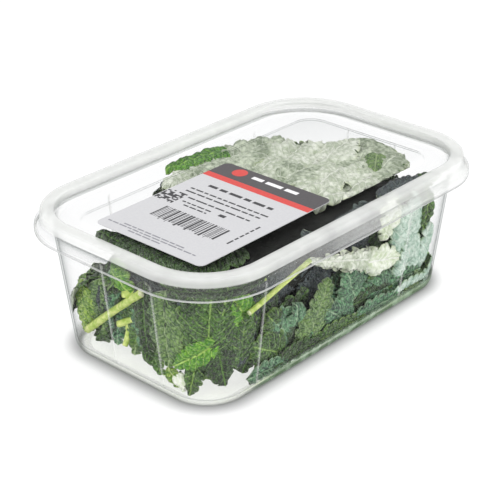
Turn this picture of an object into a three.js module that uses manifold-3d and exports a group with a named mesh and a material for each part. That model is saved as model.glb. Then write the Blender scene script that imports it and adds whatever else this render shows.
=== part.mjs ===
// A shut clear tub of fresh lemon balm: a tapered tub, a clip-on lid with a raised ring, a paper label
// on the lid's panel, and the heap of leaves and stems inside.
// Millimetres, +Z up, +X along the tub. The origin is the middle of the foot, on the ground.
import * as THREE from "three";
import { mergeVertices } from "three/addons/utils/BufferGeometryUtils.js";
import Module from "manifold-3d";

const wasm = await Module();
wasm.setup();

// ---- Driving dimensions ----

// Every level of the tub and the lid is this rounded rectangle, set in by some amount.
const OUTLINE = { length: 190, width: 120, cornerRadius: 34.4 };
const WALL = 0.8; // thickness of the tub and the lid
const GAP = 0.3; // between pieces that touch
const CORNER_STEPS = 7;
const EDGE = 0.2; // rounding of small edges

const TUB = {
  footInset: 17.6, // outer edge of the ground face
  footWidth: 3,
  footHeight: 1.2, // how far the middle of the base is raised off the ground
  bottomRadius: 3.6,
  wallTop: { inset: 7.8, z: 56 },
  flange: { inset: 1.1, z: 57.5, thickness: 0.8 },
  upstand: { inset: 5.6, z: 63.9, thickness: 1.7, lip: 0.6 },
  floorInset: 19.1, // where the inner floor's bend ends
};

const LID = {
  lowerEdge: 56.3,
  skirtTop: 58.3,
  shoulder: { inset: 1.7, z: 59.4 },
  ringOuter: { inset: 2.7, z: 64.1 },
  ringTop: { outer: 3.9, inner: 7.7, z: 65.1 },
  ringInner: { top: 8.9, foot: 9.9, bend: 0.9 },
  crownBend: 1,
  panel: 60,
  plateau: { halfLength: 75.5, halfWidth: 36, cornerRadius: 9, z: 60.7, slope: 0.9 },
};

// Narrow upright ribs on the walls. Each wall has two, and opposite walls are the same turned round.
const RIB = { width: 1.7, height: 0.55, fade: 2, long: [-54, 41], short: [-21, 7] };

const LABEL = { length: 80.4, width: 60.2, cornerRadius: 3, thickness: 0.3, x: -32.3, y: -4, turn: 0.4 };

// A leaf's base dips into the heap, its edges fold back and it waves. Widths are shares of half the
// leaf's own width, apart from the ends' half width, which is in millimetres like the rest.
const LEAF = { thickness: 0.8, notch: 0.84, endHalf: 0.7, dip: 14, fold: 0.12, lidFold: 0.03, wave: 1.1 };
const STEM = { sides: 6, steps: 5 };

// ---- The rounded rectangle and solids lofted through its levels ----

const CENTRE_X = OUTLINE.length / 2 - OUTLINE.cornerRadius;
const CENTRE_Y = OUTLINE.width / 2 - OUTLINE.cornerRadius;

// The four corners in order, each with its arc's first angle in quarter turns.
const CORNERS = [
  { x: 1, y: 1, quarter: 0 },
  { x: -1, y: 1, quarter: 1 },
  { x: -1, y: -1, quarter: 2 },
  { x: 1, y: -1, quarter: 3 },
];

function cornerArc(corner, centreX, centreY, radius, z) {
  return Array.from({ length: CORNER_STEPS + 1 }, (_, i) => {
    const angle = (corner.quarter + i / CORNER_STEPS) * (Math.PI / 2);
    return new THREE.Vector3(
      corner.x * centreX + radius * Math.cos(angle),
      corner.y * centreY + radius * Math.sin(angle),
      z,
    );
  });
}

// One level of the outline, set in by `inset` at height z.
function level([inset, z]) {
  return CORNERS.flatMap((corner) =>
    cornerArc(corner, CENTRE_X, CENTRE_Y, OUTLINE.cornerRadius - inset, z),
  );
}

// The same level with room for the ribs: three points each, the middle one raised by `proud`.
function ribbedLevel([inset, z, proud = 0]) {
  const halfWidth = OUTLINE.width / 2 - inset;
  const halfLength = OUTLINE.length / 2 - inset;
  const rib = (place) => (at) => [
    place(at - RIB.width / 2, 0),
    place(at, proud),
    place(at + RIB.width / 2, 0),
  ];
  const sides = [
    (u, out) => new THREE.Vector3(-u, halfWidth + out, z),
    (u, out) => new THREE.Vector3(-halfLength - out, -u, z),
    (u, out) => new THREE.Vector3(u, -halfWidth - out, z),
    (u, out) => new THREE.Vector3(halfLength + out, u, z),
  ];
  const shortSide = [-RIB.short[1], -RIB.short[0]];
  const places = [RIB.long, shortSide, RIB.long, shortSide];
  return CORNERS.flatMap((corner, i) => [
    ...cornerArc(corner, CENTRE_X, CENTRE_Y, OUTLINE.cornerRadius - inset, z),
    ...places[i].flatMap(rib(sides[i])),
  ]);
}

// The raised middle of the lid's panel, grown by `grow` at height z.
function plateauLevel(grow, z) {
  const radius = LID.plateau.cornerRadius + grow;
  const centreX = LID.plateau.halfLength - LID.plateau.cornerRadius;
  const centreY = LID.plateau.halfWidth - LID.plateau.cornerRadius;
  return CORNERS.flatMap((corner) => cornerArc(corner, centreX, centreY, radius, z));
}

// A closed solid through levels that all have the same number of points, with a cap on each end.
function loft(levels) {
  const count = levels[0].length;
  const points = levels.flat();
  const middles = [levels[0], levels.at(-1)].map((loop) =>
    loop.reduce((sum, p) => sum.add(p), new THREE.Vector3()).divideScalar(count),
  );
  const index = [];
  for (let k = 0; k + 1 < levels.length; k++) {
    for (let i = 0; i < count; i++) {
      const [a, b] = [k * count + i, k * count + ((i + 1) % count)];
      index.push(a, b, b + count, a, b + count, a + count);
    }
  }
  const last = (levels.length - 1) * count;
  for (let i = 0; i < count; i++) {
    const next = (i + 1) % count;
    index.push(points.length, next, i);
    index.push(points.length + 1, last + i, last + next);
  }
  const geometry = new THREE.BufferGeometry().setFromPoints([...points, ...middles]);
  geometry.setIndex(index);
  return geometry;
}

// The parallel of a profile of [across, z] points, `distance` to the right of its direction.
function parallel(profile, distance) {
  return profile.map((point, i) => {
    const before = profile[Math.max(i - 1, 0)];
    const after = profile[Math.min(i + 1, profile.length - 1)];
    const incoming = new THREE.Vector2(point[0] - before[0], point[1] - before[1]);
    const outgoing = new THREE.Vector2(after[0] - point[0], after[1] - point[1]);
    if (i === 0) incoming.copy(outgoing);
    if (i === profile.length - 1) outgoing.copy(incoming);
    const mean = incoming.normalize().add(outgoing.normalize());
    const mitre = (2 * distance) / mean.lengthSq();
    return [point[0] + mean.y * mitre, point[1] - mean.x * mitre];
  });
}

function quarterRound(from, corner, to, steps = 3) {
  const curve = new THREE.QuadraticBezierCurve(
    new THREE.Vector2(...from),
    new THREE.Vector2(...corner),
    new THREE.Vector2(...to),
  );
  return curve.getPoints(steps).map((p) => [p.x, p.y]);
}

// ---- Tub ----

// The wall's outer face at height z, as an inset from the outline.
function wallInset(z) {
  const foot = TUB.footInset - TUB.bottomRadius + GAP;
  return THREE.MathUtils.lerp(foot, TUB.wallTop.inset, z / TUB.wallTop.z);
}

function tubGeometry() {
  const { footInset, footWidth, footHeight, bottomRadius, wallTop, flange, upstand, floorInset } = TUB;
  const ribFoot = bottomRadius + 1;
  const ribTop = wallTop.z - 3;
  const flangeTop = flange.z + flange.thickness;
  const bendTop = bottomRadius + 1;
  const outside = [
    [footInset + footWidth + footHeight, footHeight],
    [footInset + footWidth, 0],
    ...quarterRound([footInset, 0], [wallInset(0), 0], [wallInset(bottomRadius), bottomRadius]),
    [wallInset(ribFoot), ribFoot],
    [wallInset(ribFoot + RIB.fade), ribFoot + RIB.fade, RIB.height],
    [wallInset(ribTop), ribTop, RIB.height],
    [wallInset(ribTop + RIB.fade), ribTop + RIB.fade],
    [wallTop.inset - EDGE, flange.z - EDGE],
    [flange.inset + EDGE, flange.z],
    [flange.inset, flange.z + flange.thickness / 2],
    [flange.inset + EDGE, flangeTop],
    [upstand.inset + upstand.lip, flangeTop],
    [upstand.inset + EDGE, upstand.z - upstand.lip],
    [upstand.inset + EDGE + upstand.lip, upstand.z],
  ];
  const inside = [
    [upstand.inset + EDGE + upstand.thickness - upstand.lip, upstand.z],
    [upstand.inset + EDGE + upstand.thickness, upstand.z - upstand.lip],
    [wallTop.inset + WALL, wallTop.z],
    ...quarterRound(
      [wallInset(bendTop) + WALL, bendTop],
      [wallInset(footHeight) + WALL, footHeight + WALL],
      [floorInset, footHeight + WALL],
    ),
  ];
  return loft([...outside, ...inside].map(ribbedLevel));
}

// ---- Lid ----

function lidGeometry() {
  const { lowerEdge, skirtTop, shoulder, ringOuter, ringTop, ringInner, crownBend, panel, plateau } = LID;
  const crown = ringTop.z;
  const top = [
    [ringInner.foot + ringInner.bend, panel],
    [ringInner.foot, panel + ringInner.bend],
    ...quarterRound([ringInner.top, crown - crownBend], [ringInner.top, crown], [ringTop.inner, crown]),
    ...quarterRound([ringTop.outer, crown], [ringOuter.inset, crown], [ringOuter.inset, ringOuter.z]),
    [shoulder.inset + 2 * EDGE, shoulder.z + 2 * EDGE],
    ...quarterRound([shoulder.inset, shoulder.z], [0, shoulder.z - EDGE], [0, skirtTop]),
    [0, lowerEdge],
  ];
  const under = parallel(top, -WALL).reverse();
  under[0] = [WALL, lowerEdge];
  const step = [plateauLevel(0, plateau.z), plateauLevel(plateau.slope, panel)];
  const underStep = step.map((loop) => loop.map((p) => new THREE.Vector3(p.x, p.y, p.z - WALL)));
  return loft([...underStep, ...under.map(level).reverse(), ...top.map(level).reverse(), ...step.reverse()]);
}

// ---- Label ----

function labelGeometry() {
  const { length, width, cornerRadius, thickness } = LABEL;
  const [x, y] = [length / 2, width / 2];
  const shape = new THREE.Shape();
  shape.moveTo(-x + cornerRadius, -y);
  shape.absarc(x - cornerRadius, -y + cornerRadius, cornerRadius, -Math.PI / 2, 0);
  shape.absarc(x - cornerRadius, y - cornerRadius, cornerRadius, 0, Math.PI / 2);
  shape.absarc(-x + cornerRadius, y - cornerRadius, cornerRadius, Math.PI / 2, Math.PI);
  shape.absarc(-x + cornerRadius, -y + cornerRadius, cornerRadius, Math.PI, Math.PI * 1.5);
  return new THREE.ExtrudeGeometry(shape, { depth: thickness, bevelEnabled: false, curveSegments: 4 });
}

// ---- The room that the herbs fill ----

const FLOOR = TUB.footHeight + WALL + 0.6;
const CEILING = LID.panel - WALL - 0.6;
const NOMINAL_RADIUS = 22; // corner radius at which a place along the wall is measured
const CORNER_RUN = (NOMINAL_RADIUS * Math.PI) / 2;

// How far the wall's inner face is from the corners' centres at height z, less `depth`.
function reach(z, depth) {
  return OUTLINE.cornerRadius - wallInset(z) - WALL - 0.1 - depth;
}

// A point at `run` along the wall, height z and `depth` in from the inner face. The run is 0 at the
// middle of the front long wall, where it equals x, and goes on round the corners either way.
function atWall(run, z, depth) {
  const radius = reach(z, depth);
  const side = Math.sign(run) || 1;
  let rest = Math.abs(run);
  const stretches = [
    { length: CENTRE_X, from: [0, -CENTRE_Y], along: [1, 0], out: -Math.PI / 2 },
    { length: CORNER_RUN, from: [CENTRE_X, -CENTRE_Y], out: -Math.PI / 2, turn: true },
    { length: 2 * CENTRE_Y, from: [CENTRE_X, -CENTRE_Y], along: [0, 1], out: 0 },
    { length: CORNER_RUN, from: [CENTRE_X, CENTRE_Y], out: 0, turn: true },
    { length: Infinity, from: [CENTRE_X, CENTRE_Y], along: [-1, 0], out: Math.PI / 2 },
  ];
  let stretch = stretches[0];
  for (stretch of stretches) {
    if (rest <= stretch.length) break;
    rest -= stretch.length;
  }
  const { from, along = [0, 0], out, turn } = stretch;
  const angle = out + (turn ? ((rest / CORNER_RUN) * Math.PI) / 2 : 0);
  const x = from[0] + along[0] * rest + radius * Math.cos(angle);
  const y = from[1] + along[1] * rest + radius * Math.sin(angle);
  return new THREE.Vector3(side * x, y, z);
}

// The run at the middle of the back long wall.
const BACK = CENTRE_X * 2 + CORNER_RUN * 2 + CENTRE_Y * 2;

// A point `depth` under the lid's panel.
function underLid(x, y, depth) {
  return new THREE.Vector3(x, y, CEILING - depth);
}

// Moves a point in from the wall, the floor and the lid where it would cross them.
function keepInRoom(point) {
  point.z = THREE.MathUtils.clamp(point.z, FLOOR, CEILING);
  const centre = new THREE.Vector2(
    THREE.MathUtils.clamp(point.x, -CENTRE_X, CENTRE_X),
    THREE.MathUtils.clamp(point.y, -CENTRE_Y, CENTRE_Y),
  );
  const out = new THREE.Vector2(point.x, point.y).sub(centre);
  out.clampLength(0, reach(point.z, GAP));
  point.x = centre.x + out.x;
  point.y = centre.y + out.y;
  return point;
}

// ---- Leaves ----

// Half the leaf's width at t from base to tip, as a share of the widest.
function leafHalfWidth(t) {
  return Math.pow(Math.sin(Math.PI * Math.pow(t, 0.72)), 0.75);
}

// A thin wavy toothed leaf on a sheet, which turns (u, v, depth) into a point. `from` is the base and
// `to` the tip, as [u, v]. Both faces have the same triangles.
function leafGeometry(sheet, leaf) {
  const { from, to, width, depth = 1.2, teeth = 5, dip = LEAF.dip, fold = LEAF.fold, phase = 0 } = leaf;
  const rows = teeth * 2 + 1;
  const [base, tip] = [new THREE.Vector2(...from), new THREE.Vector2(...to)];
  const along = tip.clone().sub(base);
  const across = new THREE.Vector2(-along.y, along.x).normalize();
  const points = [];
  for (const face of [-1, 1]) {
    for (let row = 0; row < rows; row++) {
      const t = row / (rows - 1);
      const inEnd = row === 0 || row === rows - 1;
      const notch = row % 2 === 1 ? 1 : LEAF.notch;
      const half = inEnd ? LEAF.endHalf : (width / 2) * leafHalfWidth(t) * notch;
      const sink = dip * Math.pow(1 - t, 4);
      for (const side of [-1, 0, 1]) {
        const wave = 0.5 + 0.5 * Math.sin(phase + 7 * t + side * 1.9);
        const place = base.clone().addScaledVector(along, t);
        place.addScaledVector(across, side * half);
        const lift = sink + Math.abs(side) * half * fold + wave * LEAF.wave;
        points.push(keepInRoom(sheet(place.x, place.y, depth + lift + (face * LEAF.thickness) / 2)));
      }
    }
  }
  return closedSheet(points, rows);
}

// Joins two faces of `rows` rows of three points each, one after the other, and closes the rim.
function closedSheet(points, rows) {
  const face = rows * 3;
  const index = [];
  for (let row = 0; row + 1 < rows; row++) {
    for (const column of [0, 1]) {
      const a = row * 3 + column;
      const [b, c, d] = [a + 1, a + 4, a + 3];
      index.push(a, b, c, a, c, d);
      index.push(a + face, c + face, b + face, a + face, d + face, c + face);
    }
  }
  const rim = [0, 1, 2];
  for (let row = 1; row < rows; row++) rim.push(row * 3 + 2);
  rim.push((rows - 1) * 3 + 1, (rows - 1) * 3);
  for (let row = rows - 2; row > 0; row--) rim.push(row * 3);
  rim.forEach((a, i) => {
    const b = rim[(i + 1) % rim.length];
    index.push(b, a, a + face, b, a + face, b + face);
  });
  return new THREE.BufferGeometry().setFromPoints(points).setIndex(index);
}

// Leaves that lie against the walls, as [run, z] of base and tip.
const WALL_LEAVES = [
  // front long wall
  { from: [-27, 4], to: [-3, 33], width: 27, depth: 1.1, teeth: 6 },
  { from: [-6, 16], to: [8, 36], width: 22, depth: 4 },
  { from: [1, 10], to: [5, 27], width: 13, depth: 1.6, teeth: 4 },
  { from: [36, 40], to: [-27, 45], width: 15, depth: 1, teeth: 6 },
  { from: [40, 22], to: [13, 33], width: 20, depth: 2.4 },
  { from: [44, 9], to: [18, 14], width: 21, depth: 2 },
  { from: [47, 34], to: [31, 12], width: 21, depth: 3.6 },
  { from: [22, 56], to: [34, 44], width: 16, depth: 1.8, teeth: 4 },
  { from: [50, 52], to: [41, 24], width: 18, depth: 1 },
  { from: [60, 7], to: [61, 42], width: 21, depth: 3 },
  { from: [-52, 9], to: [-29, 28], width: 20, depth: 2.6 },
  { from: [-58, 20], to: [-38, 11], width: 17, depth: 3.4 },
  // front corner
  { from: [-73, 54], to: [-67, 9], width: 34, depth: 1.2, teeth: 6 },
  { from: [-71, 29], to: [-97, 18], width: 12, depth: 1.3, teeth: 4 },
  { from: [-93, 17], to: [-81, 3.5], width: 15, depth: 2 },
  // front short wall
  { from: [-101, 52], to: [-106, 14], width: 30, depth: 1.4, teeth: 6 },
  { from: [-112, 54], to: [-114, 13], width: 15, depth: 1.2, teeth: 4 },
  { from: [-126, 48], to: [-116, 36], width: 14, depth: 1.8, teeth: 4 },
  { from: [-138, 42], to: [-146, 16], width: 20, depth: 1.2 },
  { from: [-156, 35], to: [-163, 10], width: 22, depth: 2 },
  { from: [-127, 37], to: [-138, 14], width: 18, depth: 4 },
];

// Leaves that lie against the lid's underside, as [x, y] of base and tip.
const LID_LEAVES = [
  { from: [6, 14], to: [50, 31], width: 32, depth: 0.5, teeth: 6 },
  { from: [16, 2], to: [74, 8], width: 36, depth: 0.9, teeth: 6 },
  { from: [10, -14], to: [66, -22], width: 30, depth: 0.6, teeth: 6 },
  { from: [-14, 43], to: [12, 47], width: 14, depth: 1, teeth: 4 },
  { from: [-8, 31], to: [30, 41], width: 17, depth: 1.4 },
  { from: [-30, -5], to: [-77, -8], width: 26, depth: 1.4 },
  { from: [-36, -20], to: [-75, -30], width: 24, depth: 1 },
  { from: [52, -34], to: [75, -42], width: 12, depth: 4, teeth: 4 },
];

// Stems, as [run, z, depth] of their two ends and how far the middle bows out.
const STEMS = [
  { from: [-60, 37, 2.2], to: [-26, 53, 9], bow: -1.5, diameter: 3.2 },
  { from: [-67, 42, 2.4], to: [-48, 49, 11], bow: 0, diameter: 3 },
  { from: [-151, 12, 2.2], to: [-110, 49, 9.5], bow: 1, diameter: 3.6 },
  { from: [-124, 13, 2.2], to: [-123, 28, 8], bow: 0, diameter: 3.4 },
  { from: [-133, 40, 2.4], to: [-118, 24, 9], bow: 0, diameter: 3 },
];

// A seeded run of numbers from 0 to 1.
function randomFrom(seed) {
  let state = seed;
  return () => {
    state = (state + 0x6d2b79f5) | 0;
    let mixed = Math.imul(state ^ (state >>> 15), 1 | state);
    mixed = (mixed + Math.imul(mixed ^ (mixed >>> 7), 61 | mixed)) ^ mixed;
    return ((mixed ^ (mixed >>> 14)) >>> 0) / 2 ** 32;
  };
}

// The heap is up to the lid, apart from the back left, where the tub is half empty in two steps, and
// the right end. Lengths give the stretch over which the top falls, and `drop` how far.
const TOP = {
  left: { start: 10, end: 26 }, // distance to the left of the middle
  back: [
    { start: 2, end: 12, drop: 15 },
    { start: 30, end: 45, drop: 7 },
  ],
  right: { start: 40, end: 75, drop: 9 },
};

function heapTop(x, y) {
  const { smoothstep } = THREE.MathUtils;
  const left = smoothstep(-x, TOP.left.start, TOP.left.end);
  const back = TOP.back.reduce((sum, step) => sum + step.drop * smoothstep(y, step.start, step.end), 0);
  return CEILING - left * back - TOP.right.drop * smoothstep(x, TOP.right.start, TOP.right.end);
}

// Leaves along the walls that the front view doesn't show: a low and a high row, at an even pitch with
// some scatter. Heights are shares of the heap's own height there.
const HIDDEN = {
  first: 97,
  last: BACK + CENTRE_X + CORNER_RUN,
  pitch: 20,
  heights: [0.35, 0.66],
  halfLength: 15,
  rise: 0.26,
  width: 24,
  depth: [1.2, 3.2],
  deepDip: 27, // where the core is far from the wall
  scatter: { place: 8, halfLength: 6, width: 8 },
};

function hiddenLeaves(random) {
  const spread = (size) => (random() - 0.5) * size;
  return Array.from({ length: Math.floor((HIDDEN.last - HIDDEN.first) / HIDDEN.pitch) }, (_, i) => {
    const middle = HIDDEN.first + HIDDEN.pitch * (i + 0.5) + spread(HIDDEN.scatter.place);
    const turned = middle > BACK ? middle - 2 * BACK : middle;
    const { x, y } = atWall(turned, 0, 0);
    const top = heapTop(x, y);
    const height = HIDDEN.heights[i % 2] * top;
    const angle = random() * 2 * Math.PI;
    const half = HIDDEN.halfLength + spread(HIDDEN.scatter.halfLength);
    const rise = THREE.MathUtils.clamp(half * Math.sin(angle), -HIDDEN.rise * top, HIDDEN.rise * top);
    return {
      from: [turned - half * Math.cos(angle), height - rise],
      to: [turned + half * Math.cos(angle), height + rise],
      width: HIDDEN.width + spread(HIDDEN.scatter.width),
      depth: THREE.MathUtils.lerp(...HIDDEN.depth, random()),
      dip: middle < BACK - CENTRE_X - CORNER_RUN ? HIDDEN.deepDip : LEAF.dip,
      phase: random() * 2 * Math.PI,
    };
  });
}

function stemGeometry({ from, to, bow, diameter }) {
  const ends = [from, to].map((place) => atWall(...place));
  const middle = from.map((value, i) => (value + to[i]) / 2);
  const bend = atWall(middle[0], middle[1] + bow, middle[2] + 1);
  const path = new THREE.CatmullRomCurve3([ends[0], bend, ends[1]]);
  const corners = Array.from({ length: STEM.sides }, (_, i) => {
    const angle = (i / STEM.sides) * 2 * Math.PI;
    return new THREE.Vector2(Math.cos(angle), Math.sin(angle)).multiplyScalar(diameter / 2);
  });
  const section = new THREE.Shape(corners);
  return new THREE.ExtrudeGeometry(section, { steps: STEM.steps, extrudePath: path, bevelEnabled: false });
}

// The tangled inside of the heap: a lumpy block that follows the walls and the heap's top, and stops
// short of the right end.
const CORE = {
  levels: [3, 6, 16, 28, 40, 50, 55.5],
  depth: 8.2, // in from the wall
  lump: 1.6,
  points: 44,
  shoulder: 5,
  rightEnd: 0.87,
};

function coreLevel(z, k, levels) {
  const end = k === 0 || k === levels.length - 1;
  return Array.from({ length: CORE.points }, (_, i) => {
    const run = BACK * ((2 * i) / CORE.points - 1);
    const lump = CORE.lump * Math.sin(run * 0.21 + z * 0.13) * Math.cos(run * 0.13 - z * 0.2);
    const point = atWall(run, z, CORE.depth + lump + (end ? CORE.shoulder : 0));
    if (point.x > 0) point.x *= CORE.rightEnd;
    point.z *= THREE.MathUtils.lerp(1, heapTop(point.x, point.y) / CEILING, z / CEILING);
    return point;
  });
}

function coreGeometry() {
  return loft(CORE.levels.map(coreLevel));
}

// ---- Joining ----

function solidOf(geometry) {
  const bare = geometry.clone();
  bare.deleteAttribute("normal");
  bare.deleteAttribute("uv");
  const merged = mergeVertices(bare, 1e-4);
  const triVerts = new Uint32Array(merged.index.array);
  const solid = new wasm.Manifold(
    new wasm.Mesh({ numProp: 3, vertProperties: merged.attributes.position.array, triVerts }),
  );
  if (solid.volume() > 0) return solid;
  for (let i = 0; i < triVerts.length; i += 3) {
    [triVerts[i + 1], triVerts[i + 2]] = [triVerts[i + 2], triVerts[i + 1]];
  }
  return new wasm.Manifold(
    new wasm.Mesh({ numProp: 3, vertProperties: merged.attributes.position.array, triVerts }),
  );
}

function geometryOf(solid) {
  const mesh = solid.getMesh();
  const geometry = new THREE.BufferGeometry();
  geometry.setAttribute("position", new THREE.BufferAttribute(mesh.vertProperties, mesh.numProp));
  geometry.setIndex(new THREE.BufferAttribute(mesh.triVerts, 1));
  return geometry;
}

// The heap: its core with the leaves and stems joined on. Only the largest closed skin is kept, which
// fills any hollow that the joining sealed.
function herbsGeometry() {
  const random = randomFrom(40);
  const wallLeaves = [...WALL_LEAVES, ...hiddenLeaves(random)];
  const pieces = [
    ...wallLeaves.map((leaf, i) => leafGeometry(atWall, { phase: i, ...leaf })),
    ...LID_LEAVES.map((leaf, i) => leafGeometry(underLid, { phase: i, fold: LEAF.lidFold, ...leaf })),
    ...STEMS.map(stemGeometry),
  ];
  const heap = pieces.reduce((sum, piece) => sum.add(solidOf(piece)), solidOf(coreGeometry()));
  const skins = heap.decompose();
  skins.sort((a, b) => b.volume() - a.volume());
  return geometryOf(skins[0]);
}

// ---- The pack ----

function piece(name, geometry, finish) {
  const mesh = new THREE.Mesh(geometry, new THREE.MeshStandardMaterial(finish));
  mesh.name = name;
  return mesh;
}

const CLEAR = { color: 0xf1f3f2, roughness: 0.08, metalness: 0, transparent: true, opacity: 0.3 };

const tub = piece("tub", tubGeometry(), CLEAR);
const lid = piece("lid", lidGeometry(), CLEAR);
const herbs = piece("herbs", herbsGeometry(), { color: 0x4f7a35, roughness: 0.7, metalness: 0 });
const label = piece("label", labelGeometry(), { color: 0xdddbe2, roughness: 0.45, metalness: 0 });
label.position.set(LABEL.x, LABEL.y, LID.plateau.z + GAP);
label.rotation.z = THREE.MathUtils.degToRad(LABEL.turn);

const pack = new THREE.Group();
pack.add(tub, lid, herbs, label);

export default pack;
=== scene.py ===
"""A shut clear tub of fresh lemon balm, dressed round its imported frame.

Sizes are in millimetres in the classes and are turned to metres when a mesh is made.
"""
import logging
import math
import random
from dataclasses import dataclass, field
from enum import Enum
from typing import Callable, Iterable, Optional, Sequence

import bmesh
import bpy
from mathutils import Matrix, Vector, noise


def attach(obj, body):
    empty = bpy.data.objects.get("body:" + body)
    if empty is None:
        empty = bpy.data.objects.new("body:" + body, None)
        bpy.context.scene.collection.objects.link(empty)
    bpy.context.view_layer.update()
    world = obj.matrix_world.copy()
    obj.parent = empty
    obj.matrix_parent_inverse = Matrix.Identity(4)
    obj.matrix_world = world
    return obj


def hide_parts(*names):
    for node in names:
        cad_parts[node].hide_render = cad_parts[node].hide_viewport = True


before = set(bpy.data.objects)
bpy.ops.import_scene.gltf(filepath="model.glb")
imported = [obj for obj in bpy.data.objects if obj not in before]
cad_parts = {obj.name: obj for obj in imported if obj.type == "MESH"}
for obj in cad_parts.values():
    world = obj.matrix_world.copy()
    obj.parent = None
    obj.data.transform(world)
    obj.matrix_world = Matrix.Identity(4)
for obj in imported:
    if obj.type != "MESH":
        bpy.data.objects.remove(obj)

MM = 0.001
LOG = logging.getLogger("pack")
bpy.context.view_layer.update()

Place = Callable[[float, float, float], Vector]


def linear(code: str, alpha: float = 1.0) -> tuple[float, float, float, float]:
    """Turns an sRGB hex colour to linear.

    Args:
        code: The colour as six hex digits.
        alpha: The fourth value of the result.

    Returns:
        Red, green, blue and alpha.
    """
    def channel(start: int) -> float:
        """One channel, from the two digits at start."""
        value = int(code[start:start + 2], 16) / 255
        return value / 12.92 if value <= 0.04045 else ((value + 0.055) / 1.055) ** 2.4

    return channel(0), channel(2), channel(4), alpha


def add(tree: bpy.types.NodeTree, kind: str, values: Optional[dict] = None,
        links: Optional[dict] = None, **settings: object) -> bpy.types.Node:
    """Adds a node with its settings and links.

    Args:
        tree: The node tree that takes it.
        kind: The node's type name.
        values: Input names or numbers, and what each is set to.
        links: Input names or numbers, and the output socket that feeds each.
        **settings: Properties of the node itself.

    Returns:
        The new node.
    """
    node = tree.nodes.new(kind)
    for name, value in settings.items():
        setattr(node, name, value)
    for key, value in (values or {}).items():
        node.inputs[key].default_value = value
    for key, socket in (links or {}).items():
        tree.links.new(socket, node.inputs[key])
    return node


def blank_material(name: str) -> tuple[bpy.types.Material, bpy.types.NodeTree]:
    """Makes a material with an empty node tree.

    Args:
        name: The material's name.

    Returns:
        The material and its tree.
    """
    material = bpy.data.materials.new(name)
    material.use_nodes = True
    material.node_tree.nodes.clear()
    return material, material.node_tree


def smooth_step(low: float, high: float, value: float) -> float:
    """Rises smoothly from 0 at low to 1 at high."""
    share = min(max((value - low) / (high - low), 0.0), 1.0)
    return share * share * (3 - 2 * share)


# ---- Finishes ----


@dataclass(frozen=True)
class ClearPolypropylene:
    """Clear polypropylene, injection moulded thin in a polished mould.

    The eye sees straight through it, with a faint milky haze where the wall is thick or curved, and
    soft white reflections that grow towards grazing angles. The attribute "haze" says how milky
    each place is. The tint of light that goes through turns from tint to edge_tint towards grazing
    angles, as the way through the plastic gets longer. The milk may be blotted with milk_shade.
    """
    name: str
    tint: str = "FEFEFE"
    edge_tint: str = "B9BDBC"
    milk: str = "F3F4F2"
    milk_shade: str = ""
    mirror: float = 0.001
    edge_mirror: float = 0.08
    ripple_mm: float = 16.0
    ripple_depth_mm: float = 0.6
    blot_mm: float = 5.0
    gloss_roughness: float = 0.07
    milk_roughness: float = 0.25
    ior: float = 1.49

    def material(self) -> bpy.types.Material:
        """Builds the node material.

        Returns:
            The material.
        """
        material, tree = blank_material(self.name)
        haze = add(tree, "ShaderNodeAttribute", attribute_name="haze")
        facing = add(tree, "ShaderNodeLayerWeight", {"Blend": 0.5})
        grazing = add(tree, "ShaderNodeMath", {1: 5.0}, {0: facing.outputs["Facing"]}, operation="POWER")
        shade = add(tree, "ShaderNodeMix", {6: linear(self.tint), 7: linear(self.edge_tint)},
                    {0: grazing.outputs[0]}, data_type="RGBA")
        through = add(tree, "ShaderNodeBsdfTransparent", links={"Color": shade.outputs[2]})
        place = add(tree, "ShaderNodeTexCoord")
        ripple = add(tree, "ShaderNodeTexNoise", {"Scale": 1 / (self.ripple_mm * MM), "Detail": 2.0},
                     {"Vector": place.outputs["Object"]})
        bump = add(tree, "ShaderNodeBump", {"Strength": 0.12, "Distance": self.ripple_depth_mm * MM},
                   {"Height": ripple.outputs["Fac"]})
        gloss = add(tree, "ShaderNodeBsdfGlossy",
                    {"Color": linear("FFFFFF"), "Roughness": self.gloss_roughness},
                    {"Normal": bump.outputs[0]})
        mirrored = add(tree, "ShaderNodeMapRange", {3: self.mirror, 4: self.edge_mirror},
                       {0: grazing.outputs[0]})
        film = add(tree, "ShaderNodeMixShader",
                   links={0: mirrored.outputs[0], 1: through.outputs[0], 2: gloss.outputs[0]})
        blots = add(tree, "ShaderNodeTexNoise", {"Scale": 1 / (self.blot_mm * MM), "Detail": 3.0},
                    {"Vector": place.outputs["Object"]})
        blotted = add(tree, "ShaderNodeMapRange", {1: 0.42, 2: 0.6}, {0: blots.outputs["Fac"]})
        milky = add(tree, "ShaderNodeMix", {6: linear(self.milk_shade or self.milk), 7: linear(self.milk)},
                    {0: blotted.outputs[0]}, data_type="RGBA")
        milk = add(tree, "ShaderNodeBsdfPrincipled",
                   {"Roughness": self.milk_roughness, "IOR": self.ior},
                   {"Base Color": milky.outputs[2]})
        cloud = add(tree, "ShaderNodeMapRange", {1: 0.3, 2: 0.7, 3: 0.8, 4: 1.15},
                    {0: ripple.outputs["Fac"]})
        amount = add(tree, "ShaderNodeMath", links={0: haze.outputs["Fac"], 1: cloud.outputs[0]},
                     operation="MULTIPLY", use_clamp=True)
        surface = add(tree, "ShaderNodeMixShader",
                      links={0: amount.outputs[0], 1: film.outputs[0], 2: milk.outputs[0]})
        add(tree, "ShaderNodeOutputMaterial", links={"Surface": surface.outputs[0]})
        return material


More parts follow.
